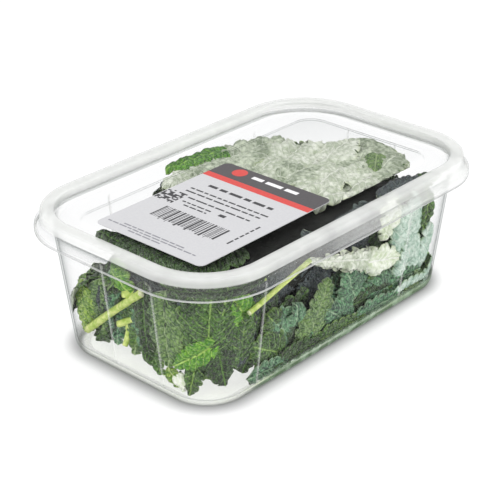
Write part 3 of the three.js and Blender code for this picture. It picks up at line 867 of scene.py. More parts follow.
@dataclass
class Room:
    """The space inside the tub and under the lid, and places along its walls.

    A run is a way along the wall. It is 0 at the middle of the front long wall, where it equals x,
    and goes on round the corners either way. The middle_front is a y just behind the front edge of
    the lid's raised middle, and the sight_slope is how far to the front a place under the lid seems
    moved for each millimetre that it is lower, seen at the photograph's angle.
    """
    tub: Tub
    floor: float = 2.2
    ceiling: float = 58.6
    nominal_radius: float = 22.0
    clearance: float = 0.25
    middle_front: float = -34.2
    sight_slope: float = 1.31

    def reach(self, z: float, depth: float) -> float:
        """How far a place beside the wall is from the corners' middles.

        Args:
            z: Its height.
            depth: How far in from the wall's inner face it is.

        Returns:
            The distance.
        """
        low, radius = self.tub.bottom_radius + 1, self.tub.bottom_radius - 1
        bend = radius - math.sqrt(radius ** 2 - min(max(low - z, 0.0), radius) ** 2)
        return self.tub.outline.corner_radius - self.tub.wall_inset(z) - self.tub.wall - 0.1 - bend - depth

    @property
    def corner_run(self) -> float:
        """The length of run round a corner."""
        return self.nominal_radius * math.pi / 2

    @property
    def back(self) -> float:
        """The run at the middle of the back long wall."""
        middle = self.tub.outline.centre
        return 2 * middle.x + 2 * self.corner_run + 2 * middle.y

    def at_wall(self, run: float, z: float, depth: float) -> Vector:
        """A place beside the wall.

        Args:
            run: The way along the wall.
            z: The height.
            depth: How far in from the wall's inner face.

        Returns:
            The place.
        """
        middle = self.tub.outline.centre
        radius = self.reach(z, depth)
        run = (run + self.back) % (2 * self.back) - self.back
        rest = abs(run)
        stretches = ((middle.x, (0, -middle.y), (1, 0), -90.0, False),
                     (self.corner_run, (middle.x, -middle.y), (0, 0), -90.0, True),
                     (2 * middle.y, (middle.x, -middle.y), (0, 1), 0.0, False),
                     (self.corner_run, (middle.x, middle.y), (0, 0), 0.0, True),
                     (math.inf, (middle.x, middle.y), (-1, 0), 90.0, False))
        for length, start, along, out, turns in stretches:
            if rest <= length:
                break
            rest -= length
        angle = math.radians(out + (90.0 * rest / self.corner_run if turns else 0.0))
        x = start[0] + along[0] * rest + radius * math.cos(angle)
        y = start[1] + along[1] * rest + radius * math.sin(angle)
        return Vector((math.copysign(1.0, run) * x, y, z))

    def under_lid(self, x: float, y: float, depth: float) -> Vector:
        """A place at depth below the lid's panel."""
        return Vector((x, y, self.ceiling - depth))

    def under_middle(self, x: float, y: float, depth: float) -> Vector:
        """A place below the lid, moved back if it would show through the gutter at the front.

        Args:
            x: The way along the lid.
            y: The way across it.
            depth: How far below the panel.

        Returns:
            The place.
        """
        spot = self.under_lid(x, y, depth)
        spot.y = max(spot.y, self.middle_front + self.sight_slope * (self.ceiling - spot.z))
        return spot

    def keep_in(self, point: Vector) -> Vector:
        """Moves a place in from the walls, floor and lid where it would cross them.

        Args:
            point: The place.

        Returns:
            The place inside the room.
        """
        middle = self.tub.outline.centre
        z = min(max(point.z, self.floor), self.ceiling)
        fixed = Vector((min(max(point.x, -middle.x), middle.x), min(max(point.y, -middle.y), middle.y)))
        out = point.xy - fixed
        most = self.reach(z, self.clearance)
        if out.length > most:
            out *= most / out.length
        return Vector((fixed.x + out.x, fixed.y + out.y, z))


# ---- Leaves and stems ----


@dataclass(frozen=True)
class Leaf:
    """One leaf with round teeth on a sheet, given by where its base and tip lie.

    Lengths are millimetres. A lean of 5 puts the tip 5 deeper than the base, and a roll of 5 puts
    the right edge 5 deeper than the left one. The curl turns the edges in, the ruffle waves them,
    and the pucker raises the skin between the veins.
    """
    base: tuple[float, float]
    tip: tuple[float, float]
    width: float
    depth: float = 1.2
    tone: Tone = Tone.MID
    lean: float = 0.0
    roll: float = 0.0
    curl: float = 1.4
    ruffle: float = 0.6
    pucker: float = 1.0
    dip: float = 5.0
    wave: float = 1.2
    tooth: float = 4.2
    seed: float = 0.0

    COLUMNS = 7
    THICKNESS = 0.35
    TOOTH_HEIGHT = 0.5
    SWEEP = 0.4
    VEIN_SLANT = 0.75

    def half_width(self, t: float) -> float:
        """Half the blade's width at t from base to tip, before the teeth are cut."""
        return self.width / 2 * max(math.sin(math.pi * t ** 0.66), 0.0) ** 0.72

    def lobe(self, phase: float) -> float:
        """How far the edge stands out at a phase, from 0 in a notch to 1 on a tooth."""
        share = (phase - math.floor(phase)) ** 0.8
        return max(1 - abs(2 * share - 1) ** 2.4, 0.0) ** 0.55

    def relief(self, phase: float, side: float, half: float, along: float) -> float:
        """How much deeper than the sheet the blade lies, from its folds and puckers.

        Args:
            phase: The number of side veins passed.
            side: The share of the half width, from -1 to 1.
            half: The half width.
            along: The way from the base.

        Returns:
            The depth.
        """
        share = abs(side)
        off_vein = abs(phase - round(phase)) * 2
        raised = off_vein ** 0.7 * (share * (1 - share ** 3) * 2.2) ** 0.6
        spot = Vector((along, side * half, self.seed * 5))
        crumple = 0.7 * noise.noise(spot * 0.24) + 0.5 * noise.noise(spot * 0.62)
        rib = math.exp(-(share * half / 1.1) ** 2)
        ruffles = self.ruffle * share ** 2 * math.sin(phase * 2.4 + self.seed * 4 + side)
        edge = self.curl * share ** 2.4 + ruffles
        bent_at = Vector((along * 0.07 + self.seed, side * 1.3, self.seed * 1.7))
        fold = self.wave * (noise.noise(bent_at) + 0.25)
        return max(edge + fold + self.pucker * (rib - raised - crumple), -0.5)

    def build(self, place: Place, keep_in: Callable[[Vector], Vector], slots: tuple[int, int],
              rows_per_tooth: int = 8) -> bmesh.types.BMesh:
        """Builds the leaf.

        Args:
            place: Turns two places on the sheet and a depth into a point.
            keep_in: Keeps a point inside the tub.
            slots: The material slots of the face that shows and of the other face.
            rows_per_tooth: How fine the mesh is.

        Returns:
            The leaf's own bmesh, with the layers "blade" and "flat".
        """
        bm = bmesh.new()
        blade = bm.verts.layers.float_vector.new("blade")
        flat = bm.verts.layers.float_vector.new("flat")
        inward = bm.verts.layers.float_vector.new("inward")
        start, end = Vector(self.base), Vector(self.tip)
        way = end - start
        length = way.length
        teeth = max(round(length / self.tooth), 3)
        spacing = length / teeth
        along = way / length
        aside = Vector((-along.y, along.x))
        columns = self.COLUMNS if rows_per_tooth > 6 else self.COLUMNS - 2
        bmesh.ops.create_grid(bm, x_segments=teeth * rows_per_tooth, y_segments=2 * columns, size=0.5)
        for vert in bm.verts:
            r = vert.co.x + 0.5
            side = vert.co.y * 2
            share = abs(side)
            t = min(r + self.SWEEP * share ** 1.4 * r * (1 - r), 1.0)
            half = self.half_width(t)
            phase = r * teeth
            vein = (t * length - self.VEIN_SLANT * share * half) / spacing
            tooth = self.TOOTH_HEIGHT * spacing * min(half / 4, 1.0) * share ** 5
            reach = half + tooth * (self.lobe(phase) - 0.8)
            forward = t * length + 0.6 * tooth * self.lobe(phase)
            sunk = self.dip * (1 - r) ** 4 + self.lean * r + self.roll * side * 0.5
            depth = self.depth + self.relief(vein, side, half, t * length) + sunk
            spot = start + along * forward + aside * (side * reach)
            vert[blade] = Vector((vein, side, half))
            vert[flat] = Vector((t * length + self.seed * 37, side * reach + self.seed * 11, spacing))
            shown = place(spot.x, spot.y, depth)
            vert[inward] = place(spot.x, spot.y, depth + self.THICKNESS) - shown
            vert.co = keep_in(shown)
        bmesh.ops.remove_doubles(bm, verts=bm.verts, dist=0.02)
        shown_faces = bm.faces[:]
        made = bmesh.ops.extrude_face_region(bm, geom=shown_faces, use_keep_orig=True)["geom"]
        for face in bm.faces:
            face.material_index = slots[0]
        for item in made:
            if isinstance(item, bmesh.types.BMFace):
                item.material_index = slots[1]
            elif isinstance(item, bmesh.types.BMVert):
                item.co += item[inward]
        bm.verts.layers.float_vector.remove(inward)
        bmesh.ops.recalc_face_normals(bm, faces=bm.faces)
        return bm


def sweep(bm: bmesh.types.BMesh, path: Sequence[Vector], radius: Callable[[float], float],
          sides: int = 12, flute: float = 0.1) -> None:
    """Draws a closed square-ish stem along a path, with its two cut ends in the second slot.

    Args:
        bm: The bmesh that takes it.
        path: The points of its middle.
        radius: The radius at a share of the path.
        sides: How many sides the section has.
        flute: How far the four sides are hollowed, as a share of the radius.
    """
    ring = bmesh.ops.create_circle(bm, cap_ends=True, radius=1.0, segments=sides)["verts"]
    first_cut = ring[0].link_faces[0]
    shape = {vert: vert.co.copy() for vert in ring}
    rim = [edge for edge in {e for v in ring for e in v.link_edges} if edge.is_boundary]

    def station(i: int) -> Matrix:
        """The frame of the section at point i."""
        ahead = path[min(i + 1, len(path) - 1)] - path[max(i - 1, 0)]
        turn = ahead.to_track_quat("Z", "Y").to_matrix().to_4x4()
        return Matrix.Translation(path[i]) @ turn

    def section(local: Vector, i: int) -> Vector:
        """A point of the unit circle on the section at point i."""
        angle = math.atan2(local.y, local.x)
        size = radius(i / (len(path) - 1)) * (1 + flute * math.cos(4 * angle))
        return station(i) @ (local * size)

    for vert in ring:
        vert.co = section(shape[vert], 0)
    for i in range(1, len(path)):
        back = station(i - 1).inverted()
        rim = next_level(bm, rim, lambda point: section((back @ point).normalized(), i))
    for face in [first_cut] + bmesh.ops.edgeloop_fill(bm, edges=rim)["faces"]:
        face.material_index = 1


@dataclass(frozen=True)
class Stem:
    """One cut stem, given by its two ends as run, height and depth."""
    start: tuple[float, float, float]
    end: tuple[float, float, float]
    diameter: float = 3.2
    bow: float = 0.0

    def build(self, bm: bmesh.types.BMesh, room: Room) -> None:
        """Adds the stem to a bmesh.

        Args:
            bm: The bmesh.
            room: The room whose walls the ends are measured from.
        """
        steps = 14
        start, end = room.at_wall(*self.start), room.at_wall(*self.end)
        middle = [(a + b) / 2 for a, b in zip(self.start, self.end)]
        bend = room.at_wall(middle[0], middle[1] + self.bow, middle[2] + 1) * 2 - (start + end) / 2
        path = []
        for i in range(steps + 1):
            t = i / steps
            path.append(start * (1 - t) ** 2 + bend * (2 * t * (1 - t)) + end * t * t)
        sweep(bm, path, lambda share: self.diameter / 2 * (1 + 0.04 * math.sin(9 * share)))


@dataclass
class Heap:
    """The herbs: leaves against the walls and the lid, stems, and the dark inside of the heap, which is
    painted shade, as are the SHADE leaves and the DARK ones set deep in gaps.

    Each of back_steps and right_fall is where the top starts to drop, where it ends and how far it
    drops: back_steps towards the back, but only left of left_fall, between whose values they set
    in, and right_fall towards the right. Wall leaves and stems are given by run and height, and lid
    leaves by x and y. Leaves are laid by depth alone, so they may pass through each other.
    """
    room: Room
    seed: int = 40
    left_fall: tuple[float, float] = (10.0, 26.0)
    back_steps: tuple[tuple[float, float, float], ...] = ((2.0, 12.0, 14.0), (14.0, 45.0, 13.0))
    right_fall: tuple[float, float, float] = (40.0, 75.0, 9.0)
    back_hem: tuple[float, float] = (26.0, 0.5)

    WALL_LEAVES = {
        "front_wall": (
            Leaf((40, 25), (-24, 49.5), 11, 0.9, Tone.PALE, curl=0.6, ruffle=1.6, seed=1.1),
            Leaf((17, 32.5), (41, 26), 15, 0.8, Tone.CREAM, dip=1.0, ruffle=1.0, seed=2.3),
            Leaf((38, 58), (27, 39), 14, 1.4, Tone.CREAM, ruffle=0.8, seed=3.2),
            Leaf((44, 24), (48, 56), 21, 1.6, Tone.MIST, dip=2.0, seed=0.4),
            Leaf((52, 4), (50, 37), 21, 1.8, Tone.MIST, seed=5.1),
            Leaf((67, 4), (64, 35), 19, 2.2, Tone.MIST, seed=6.3),
            Leaf((61, 54), (57, 33), 13, 1.2, Tone.MID, seed=7.7),
            Leaf((67, 7), (44, 4), 10, 0.8, Tone.DUSK, dip=1.0, seed=1.9),
            Leaf((45, 7), (19, 18), 18, 2.6, Tone.TEAL, seed=2.8),
            Leaf((17, 11), (4, 34), 20, 1.8, Tone.TEAL, seed=3.4),
            Leaf((13, 3), (-9, 20), 18, 1.3, Tone.TEAL, dip=2.0, seed=4.6),
            Leaf((-20, 3), (-8, 35), 20, 1.1, Tone.DUSK, dip=2.0, seed=5.5),
            Leaf((5, 20), (-21, 4), 16, 2.2, Tone.TEAL, seed=6.1),
            Leaf((-22, 7), (-44, 31), 24, 3.2, Tone.TEAL, seed=7.2),
            Leaf((-24, 13), (-29, 31), 14, 1.8, Tone.TEAL, seed=0.9),
            Leaf((-33, 8), (-55, 22), 19, 1.4, Tone.MID, dip=2.0, seed=1.4),
            # Painted shade: a deep DARK leaf in the gap between the leaves beside it.
            Leaf((-26, 4), (-36, 25), 15, 3.6, Tone.DARK, seed=2.2),
            Leaf((-35, 20), (-47, 34), 13, 2.0, Tone.MID, seed=3.9),
            Leaf((-56, 6), (-32, 5), 12, 0.5, Tone.TEAL, curl=0.0, ruffle=0.2, dip=0.5, seed=1.7),
            Leaf((-42, 5), (-10, 6), 13, 0.4, Tone.DARK, curl=0.0, ruffle=0.2, dip=0.5, seed=4.2),
            Leaf((-16, 5), (20, 5), 13, 0.3, Tone.MID, curl=0.0, ruffle=0.2, dip=0.5, seed=5.3),
            Leaf((12, 5), (46, 5), 13, 0.5, Tone.TEAL, curl=0.0, ruffle=0.2, dip=0.5, seed=6.5),
            Leaf((38, 5), (70, 5), 13, 0.4, Tone.MIST, curl=0.0, ruffle=0.2, dip=0.5, seed=7.8),
            Leaf((60, 5), (92, 6), 13, 0.5, Tone.MIST, curl=0.0, ruffle=0.2, dip=0.5, seed=0.8),
            # Painted shade: these two deep DARK leaves darken gaps between the front leaves.
            Leaf((-36, 4), (-20, 22), 18, 4.5, Tone.DARK, seed=1.2),
            Leaf((32, 6), (46, 20), 18, 4.2, Tone.DARK, seed=2.7),
            Leaf((14, 11), (42, 10), 15, 2.8, Tone.DARK, dip=1.0, seed=3.1),
            Leaf((36, 10), (62, 11), 15, 2.6, Tone.TEAL, dip=1.0, seed=3.6),
        ),
        "front_corner": (
            Leaf((-79, 11), (-76, 58), 38, 2.0, Tone.MID, dip=2.0, pucker=1.2, seed=4.4),
            Leaf((-74, 31), (-70, 58), 9, 0.9, Tone.MID, dip=1.0, pucker=1.2, seed=8.4),
            Leaf((-62, 14), (-60, 40), 18, 1.7, Tone.MID, dip=1.0, pucker=1.2, seed=8.9),
            Leaf((-86, 17), (-91, 55), 28, 2.4, Tone.DARK, pucker=1.2, seed=5.8),
            Leaf((-73, 31), (-96, 16), 13, 0.7, Tone.BRIGHT, dip=1.0, seed=6.6),
            Leaf((-74, 29), (-70, 8.5), 18, 1.0, Tone.DARK, dip=1.0, seed=7.1),
            Leaf((-83, 23), (-88, 2.9), 11, 1.5, Tone.MID, dip=1.0, seed=0.2),
            Leaf((-96, 12), (-90, 5), 8, 1.2, Tone.CREAM, dip=1.0, ruffle=1.2, seed=1.5),
            Leaf((-101, 13), (-96, 4.5), 9, 1.8, Tone.OLIVE, dip=1.0, seed=2.6),
            Leaf((-50, 23), (-57, 9), 13, 3.0, Tone.DARK, seed=3.3),
            Leaf((-56, 34), (-68, 50), 15, 2.4, Tone.BRIGHT, dip=1.0, seed=4.9),
            Leaf((-46, 55), (-98, 55), 7, 0.8, Tone.DARK, dip=0.5, seed=5.1),
        ),
        "left_wall": (
            Leaf((-98, 50), (-99, 14), 22, 1.3, Tone.DUSK, dip=2.0, seed=5.2),
            Leaf((-110, 50), (-111, 12), 14, 1.4, Tone.DARK, dip=2.0, seed=6.8),
            Leaf((-133, 50), (-116, 41), 13, 3.2, Tone.BRIGHT, seed=7.4),
            Leaf((-151, 35), (-154, 10), 20, 2.4, Tone.OLIVE, dip=2.0, seed=0.7),
            Leaf((-140, 39), (-142, 9), 14, 3.6, Tone.DUSK, dip=2.0, seed=1.6),
            Leaf((-130, 42), (-133, 9), 15, 4.2, Tone.TEAL, seed=1.8),
            Leaf((-121, 42), (-123, 8), 19, 5.0, Tone.DUSK, seed=2.9),
            Leaf((-119, 22), (-104, 7), 14, 2.6, Tone.MID, seed=3.6),
            Leaf((-136, 17), (-146, 8), 10, 3.2, Tone.DARK, seed=4.1),
        ),
    }
    LID_LEAVES = (
        Leaf((30, 45), (-9, 49), 16, 0.8, Tone.FRESH, dip=2.0, tooth=6.0, seed=5.4),
        Leaf((12, 41), (55, 34), 27, 1.5, Tone.SAGE, ruffle=1.2, seed=6.4),
        Leaf((26, 30), (-6, 36), 24, 1.9, Tone.SAGE, dip=2.0, seed=3.8),
        Leaf((14, 38), (13, -18), 26, 3.2, Tone.SAGE, dip=1.0, seed=2.6),
        Leaf((20, 27), (-24, 31), 24, 3.0, Tone.SAGE, dip=1.0, seed=4.4),
        # Painted shade: these DARK and SHADE leaves near y -38 to -43, and two more at the end, darken the
        # gutter before the raised middle.
        Leaf((60, -42), (24, -43), 13, 3.0, Tone.DARK, dip=1.0, seed=5.7),
        Leaf((26, -42), (-4, -43), 13, 3.4, Tone.SHADE, dip=1.0, seed=6.1),
        Leaf((76, 14), (70, -28), 22, 3.0, Tone.SAGE, dip=1.0, seed=6.8),
        Leaf((16, 28), (-20, 40), 25, 2.2, Tone.PALE, ruffle=1.2, seed=7.9),
        Leaf((12, 21), (64, 18), 31, 0.6, Tone.PALE, ruffle=1.4, pucker=0.9, wave=3.6, seed=1.3),
        Leaf((20, 2), (75, 7), 32, 1.0, Tone.PALE, ruffle=1.4, pucker=0.9, wave=4.0, seed=2.1),
        Leaf((8, 10), (50, -1), 28, 1.8, Tone.SAGE, ruffle=1.4, pucker=0.9, wave=4.0, seed=3.7),
        Leaf((62, -8), (6, -12), 29, 0.8, Tone.PALE, dip=2.0, ruffle=1.4, pucker=0.9, wave=3.6, seed=4.2),
        Leaf((30, -22), (77, -20), 27, 1.4, Tone.SAGE, ruffle=1.4, pucker=0.9, wave=3.6, seed=5.9),
        Leaf((71, -9), (54, -21), 12, 1.5, Tone.DUSK, dip=1.0, seed=6.2),
        Leaf((58, -25), (4, -23), 22, 1.0, Tone.PALE, dip=2.0, ruffle=1.4, pucker=0.9, wave=3.6, seed=7.6),
        Leaf((36, 8), (71, -8), 26, 2.6, Tone.SAGE, ruffle=1.4, wave=2.0, seed=0.3),
        Leaf((4, 0), (46, 20), 36, 4.6, Tone.SAGE, wave=2.4, seed=1.7),
        Leaf((30, 22), (73, -6), 36, 5.0, Tone.SAGE, wave=2.4, seed=2.5),
        Leaf((4, -16), (52, -20), 32, 4.6, Tone.SAGE, wave=2.4, seed=3.1),
        Leaf((38, -6), (76, -19), 28, 5.0, Tone.SAGE, wave=2.4, seed=4.7),
        # Painted shade: these DARK leaves at the left end, and the one along x -71, darken the band beside
        # the label's short edge.
        Leaf((-30, -5), (-77, -8), 26, 1.4, Tone.DARK, seed=5.6),
        Leaf((-36, -20), (-75, -28), 24, 1.0, Tone.DARK, seed=6.9),
        Leaf((52, -38), (75, -42), 11, 3.0, Tone.DARK, seed=7.3),
        Leaf((34, -38.5), (63, -38.5), 11, 1.5, Tone.SHADE, dip=1.0, seed=2.4),
        Leaf((-71, 27), (-71, -32), 12, 1.0, Tone.DARK, dip=1.0, seed=3.5),
    )
    STEMS = (
        Stem((-60, 41, 1.3), (-24, 50.5, 1.8), 2.3, -1.5),
        Stem((-63, 48, 5.2), (-50, 52.5, 3.0), 2.2),
        Stem((-148, 12.5, 2.0), (-109, 46, 2.0), 3.1, 0.4),
        Stem((-121, 40.5, 2.2), (-109, 44, 6.0), 2.8),
        Stem((-127, 23.5, 2.4), (-115, 30.5, 5.0), 2.8),
        Stem((-124.5, 14, 2.2), (-123, 25, 4.5), 2.5),
    )
    PALE_TONES = (Tone.CREAM, Tone.PALE, Tone.SAGE, Tone.MIST)
    HIDDEN_TONES = {Tone.MID: 26, Tone.BRIGHT: 14, Tone.TEAL: 22, Tone.DUSK: 10, Tone.DARK: 14,
                    Tone.MIST: 8, Tone.PALE: 6}
    FILLING_TONES = {Tone.MID: 16, Tone.DARK: 34, Tone.TEAL: 14, Tone.DUSK: 6, Tone.SHADE: 30}
    SHADOW_TONES = {Tone.SHADE: 1}
    FALLEN_TONES = {Tone.MID: 30, Tone.TEAL: 20, Tone.DUSK: 15, Tone.DARK: 35}
    SHORTEST_LEAF = 13.0

    def top(self, x: float, y: float) -> float:
        """The heap's height at a place: up to the lid, but lower at the back left and the right.

        Args:
            x: The way along the tub.
            y: The way across it.

        Returns:
            The height.
        """
        left = smooth_step(*self.left_fall, -x)
        back = sum(drop * smooth_step(start, end, y) for start, end, drop in self.back_steps)
        start, end, drop = self.right_fall
        return self.room.ceiling - left * back - drop * smooth_step(start, end, x)

    def bottom(self, run: float) -> float:
        """How low the leaves hang at a run: raised at the left end, where the floor shows."""
        raised = smooth_step(-156, -148, run) * (1 - smooth_step(-44, -34, run))
        return 3.0 + 1.5 * noise.noise(Vector((run * 0.06, 3.0, 1.0))) + 7.0 * raised

    def leaf_piece(self, name: str, leaves: Iterable[tuple[Leaf, Place]],
                   rows_per_tooth: int = 8) -> bpy.types.Object:
        """Builds leaves as one piece.

        Args:
            name: The piece's name.
            leaves: Each leaf with the sheet that it lies on.
            rows_per_tooth: How fine the meshes are.

        Returns:
            The piece.
        """
        tones = list(Tone)
        piece = MeshPiece(name, [self.leaf_material(tone) for tone in tones])
        for leaf, place in leaves:
            back = Tone.MID if leaf.tone in self.PALE_TONES else Tone.SAGE
            slots = (tones.index(leaf.tone), tones.index(back))
            piece.join(leaf.build(place, self.room.keep_in, slots, rows_per_tooth))
        return piece.finish(["herbs"])

    def leaf_material(self, tone: Tone) -> bpy.types.Material:
        """The material of a tone, made when it is first asked for."""
        made = bpy.data.materials.get(tone.value.name)
        return made or tone.value.material()

    def pick(self, draw: random.Random, shares: dict[Tone, int]) -> Tone:
        """Draws a tone, each as often as its share says."""
        return draw.choices(list(shares), list(shares.values()))[0]

    def wall_leaf(self, draw: random.Random, run: float, share: float, depth: float,
                  tone: Tone) -> Optional[tuple[Leaf, Place]]:
        """A leaf of random size and direction beside the wall.

        Args:
            draw: The source of random numbers.
            run: Where its middle is along the wall.
            share: How high its middle is, from the lowest to the highest place.
            depth: How far in it lies.
            tone: Its colour.

        Returns:
            The leaf with its sheet, or nothing where it finds no room.
        """
        length, width = draw.uniform(24, 38), draw.uniform(16, 25)
        angle = draw.uniform(0, 2 * math.pi)
        lean, roll = draw.uniform(-1, 2), draw.uniform(-3, 3)
        dip, seed = draw.uniform(2, 7), draw.uniform(0, 9)
        reach = Vector((math.cos(angle), math.sin(angle))) * length / 2
        margin = abs(math.cos(angle)) * width / 2
        spot = self.room.at_wall(run, 0, 5)
        low, high = self.bottom(run) + margin, self.top(spot.x, spot.y) - 1.5 - margin
        if high < low:
            return None
        z = low + (high - low) * share
        base = (run - reach.x, min(max(z - reach.y, low), high))
        tip = (run + reach.x, min(max(z + reach.y, low), high))
        if math.dist(base, tip) < self.SHORTEST_LEAF:
            return None
        leaf = Leaf(base, tip, width, depth, tone, lean, roll, 1.8, 0.8, 1.1, dip, 2.0, seed=seed)
        return leaf, self.room.at_wall

    def hidden_wall(self) -> list[tuple[Leaf, Place]]:
        """Leaves against the right and back walls, which are like those that show.

        Returns:
            Each leaf with the sheet that it lies on.
        """
        draw = random.Random(self.seed + 1)
        first, last, pitch = 84.0, 2 * self.room.back - 156.0, 9.5
        leaves = []
        for i in range(int((last - first) / pitch)):
            tone = self.pick(draw, self.HIDDEN_TONES)
            run = first + pitch * (i + draw.random())
            share = (i % 3 + draw.random()) / 3
            leaves.append(self.wall_leaf(draw, run, share, draw.uniform(1.2, 3.4), tone))
        return [leaf for leaf in leaves if leaf]

    def filling(self) -> list[tuple[Leaf, Place]]:
        """Scatters leaves all round behind the ones against the walls.

        Returns:
            Each leaf with the sheet that it lies on.
        """
        draw = random.Random(self.seed)
        pitch, rows = 11.0, 4
        shadow_start, shadow_end = -58, 34
        leaves = []
        for i in range(int(2 * self.room.back / pitch)):
            for row in range(rows):
                run = -self.room.back + pitch * (i + draw.random())
                share = (row + draw.random()) / rows
                # Painted shade: high leaves between these runs take the SHADE tone, and the rest are mostly
                # DARK and SHADE, darkening the gaps.
                shadow = shadow_start < run < shadow_end and share > 0.5
                tone = self.pick(draw, self.SHADOW_TONES if shadow else self.FILLING_TONES)
                depth = draw.uniform(7.5, 9.0) if shadow else draw.uniform(3.6, 8.0)
                leaves.append(self.wall_leaf(draw, run, share, depth, tone))
        return [leaf for leaf in leaves if leaf]

    def on_fallen_side(self, x: float, y: float, depth: float) -> Vector:
        """A place on the side of the heap where it has fallen in at the back left.

        Args:
            x: The way along the tub.
            y: The way across it.
            depth: How far below the top of the heap.

        Returns:
            The place.
        """
        start, slope = self.back_hem
        drop = depth + slope * max(y - start, 0.0)
        return Vector((x, y, self.top(min(x, -self.left_fall[1]), y) - drop))

    def fallen_side(self) -> list[tuple[Leaf, Place]]:
        """Scatters leaves down the side of the heap that shows from behind.

        Returns:
            Each leaf with the sheet that it lies on.
        """
        draw = random.Random(self.seed + 2)
        columns, first_x, column_pitch = 5, -78, 14
        rows, first_y, row_pitch = 4, 2, 11
        leaves = []
        for column in range(columns):
            for row in range(rows):
                middle = Vector((first_x + column_pitch * (column + draw.random()),
                                 first_y + row_pitch * (row + draw.random())))
                angle, length = draw.uniform(0, 2 * math.pi), draw.uniform(22, 34)
                way = Vector((math.cos(angle), math.sin(angle))) * length / 2
                tone = self.pick(draw, self.FALLEN_TONES)
                leaves.append((Leaf(tuple(middle - way), tuple(middle + way), draw.uniform(15, 22),
                                    draw.uniform(1.0, 4.5), tone, seed=draw.uniform(0, 9)),
                               self.on_fallen_side))
        return leaves

    def build(self) -> list[bpy.types.Object]:
        """Builds the whole heap.

        Returns:
            Its pieces.
        """
        pieces = []
        at_wall = self.room.at_wall
        for place_name, leaves in self.WALL_LEAVES.items():
            pieces.append(self.leaf_piece(f"leaves_{place_name}", [(leaf, at_wall) for leaf in leaves]))
        under_lid = [(leaf, self.room.under_middle if leaf.tone in self.PALE_TONES else self.room.under_lid)
                     for leaf in self.LID_LEAVES]
        pieces.append(self.leaf_piece("leaves_under_lid", under_lid))
        pieces.append(self.leaf_piece("leaves_hidden_walls", self.hidden_wall(), 6))
        pieces.append(self.leaf_piece("leaves_fallen_side", self.fallen_side(), 6))
        filling = self.filling()
        half = len(filling) // 2
        pieces.append(self.leaf_piece("leaves_filling_left", filling[:half], 5))
        pieces.append(self.leaf_piece("leaves_filling_right", filling[half:], 5))
        pieces.append(self.build_stems())
        pieces.append(self.build_core())
        return pieces

    def build_stems(self) -> bpy.types.Object:
        """Builds the stems as one piece.

        Returns:
            The piece.
        """
        skin = MottledSkin("lemon_balm_stem", "DCE690", "A4C050", 0.45, 2.5)
        cut = MottledSkin("lemon_balm_stem_cut", "F1F2CF", "DDE3AC", 0.6, 1.0)
        piece = MeshPiece("stems", [skin.material(), cut.material()])
        for stem in self.STEMS:
            stem.build(piece.bm, self.room)
        bmesh.ops.recalc_face_normals(piece.bm, faces=piece.bm.faces)
        return piece.finish(["herbs"])

    def build_core(self) -> bpy.types.Object:
        """Builds the dark inside of the heap, a lumpy block that follows the walls, painted near black as
        shade.

        Returns:
            The piece.
        """
        # Painted shade: a near black block stands for the shade deep in the heap.
        shade = MottledSkin("herbs_in_shade", "191C17", "0A0B09", 0.8, 4.0, relief=1.2)
        piece = MeshPiece("heap_inside", [shade.material()])
        bm = piece.bm
        bmesh.ops.create_cube(bm, size=2.0)
        bmesh.ops.subdivide_edges(bm, edges=bm.edges[:], cuts=31, use_grid_fill=True)
        middle = self.room.tub.outline.centre
        depth, cover = 9.5, 6.0
        for vert in bm.verts:
            u, v, w = vert.co
            rise = (w + 1) / 2
            low = self.room.floor + 1.5 + 5.0 * smooth_step(15, 60, -u * self.room.tub.outline.length / 2)
            lift = (self.room.ceiling - cover - low) * rise
            hem = 3.0 * (1 - rise) ** 6
            reach = self.room.reach(low + lift, depth + hem) + 1.8 * noise.noise(vert.co * 3.1)
            square = max(abs(u), abs(v), 1e-6)
            out = Vector((u * (middle.x + reach), v * (middle.y + reach)))
            fixed = Vector((min(max(out.x, -middle.x), middle.x), min(max(out.y, -middle.y), middle.y)))
            rest = out - fixed
            if rest.length > reach * square:
                out = fixed + rest * (reach * square / rest.length)
            x = out.x * (0.87 if out.x > 0 else 1.0)
            lift *= (self.top(x, out.y) - cover - low) / (self.room.ceiling - cover - low)
            z = low + lift + 1.2 * noise.noise(Vector((x, out.y, lift)) * 0.14) * rise
            vert.co = Vector((x, out.y, z))
        bmesh.ops.recalc_face_normals(bm, faces=bm.faces)
        return piece.finish(["herbs"])


# ---- Label ----


class Ink(Enum):
    """The printing inks of the label, in the order of the print's material slots."""
    GREY = CoatedPaper("printed_grey", "4E4A4D", "474446", 0.45)
    RED = CoatedPaper("printed_red", "D8463F", "D03E39", 0.45)
    BLACK = CoatedPaper("thermal_print_black", "3A3A3D", "303034", 0.5)
    FAINT = CoatedPaper("thermal_print_faint", "8F8F96", "85858C", 0.5)
    WHITE = CoatedPaper("unprinted_white", "F4F3F5", "ECEBEE", 0.45)


@dataclass(frozen=True)
class Mark:
    """A printed field in label coordinates: its middle, its size along and across, and its ink."""
    middle: tuple[float, float]
    size: tuple[float, float]
    ink: Ink
    layer: int = 0


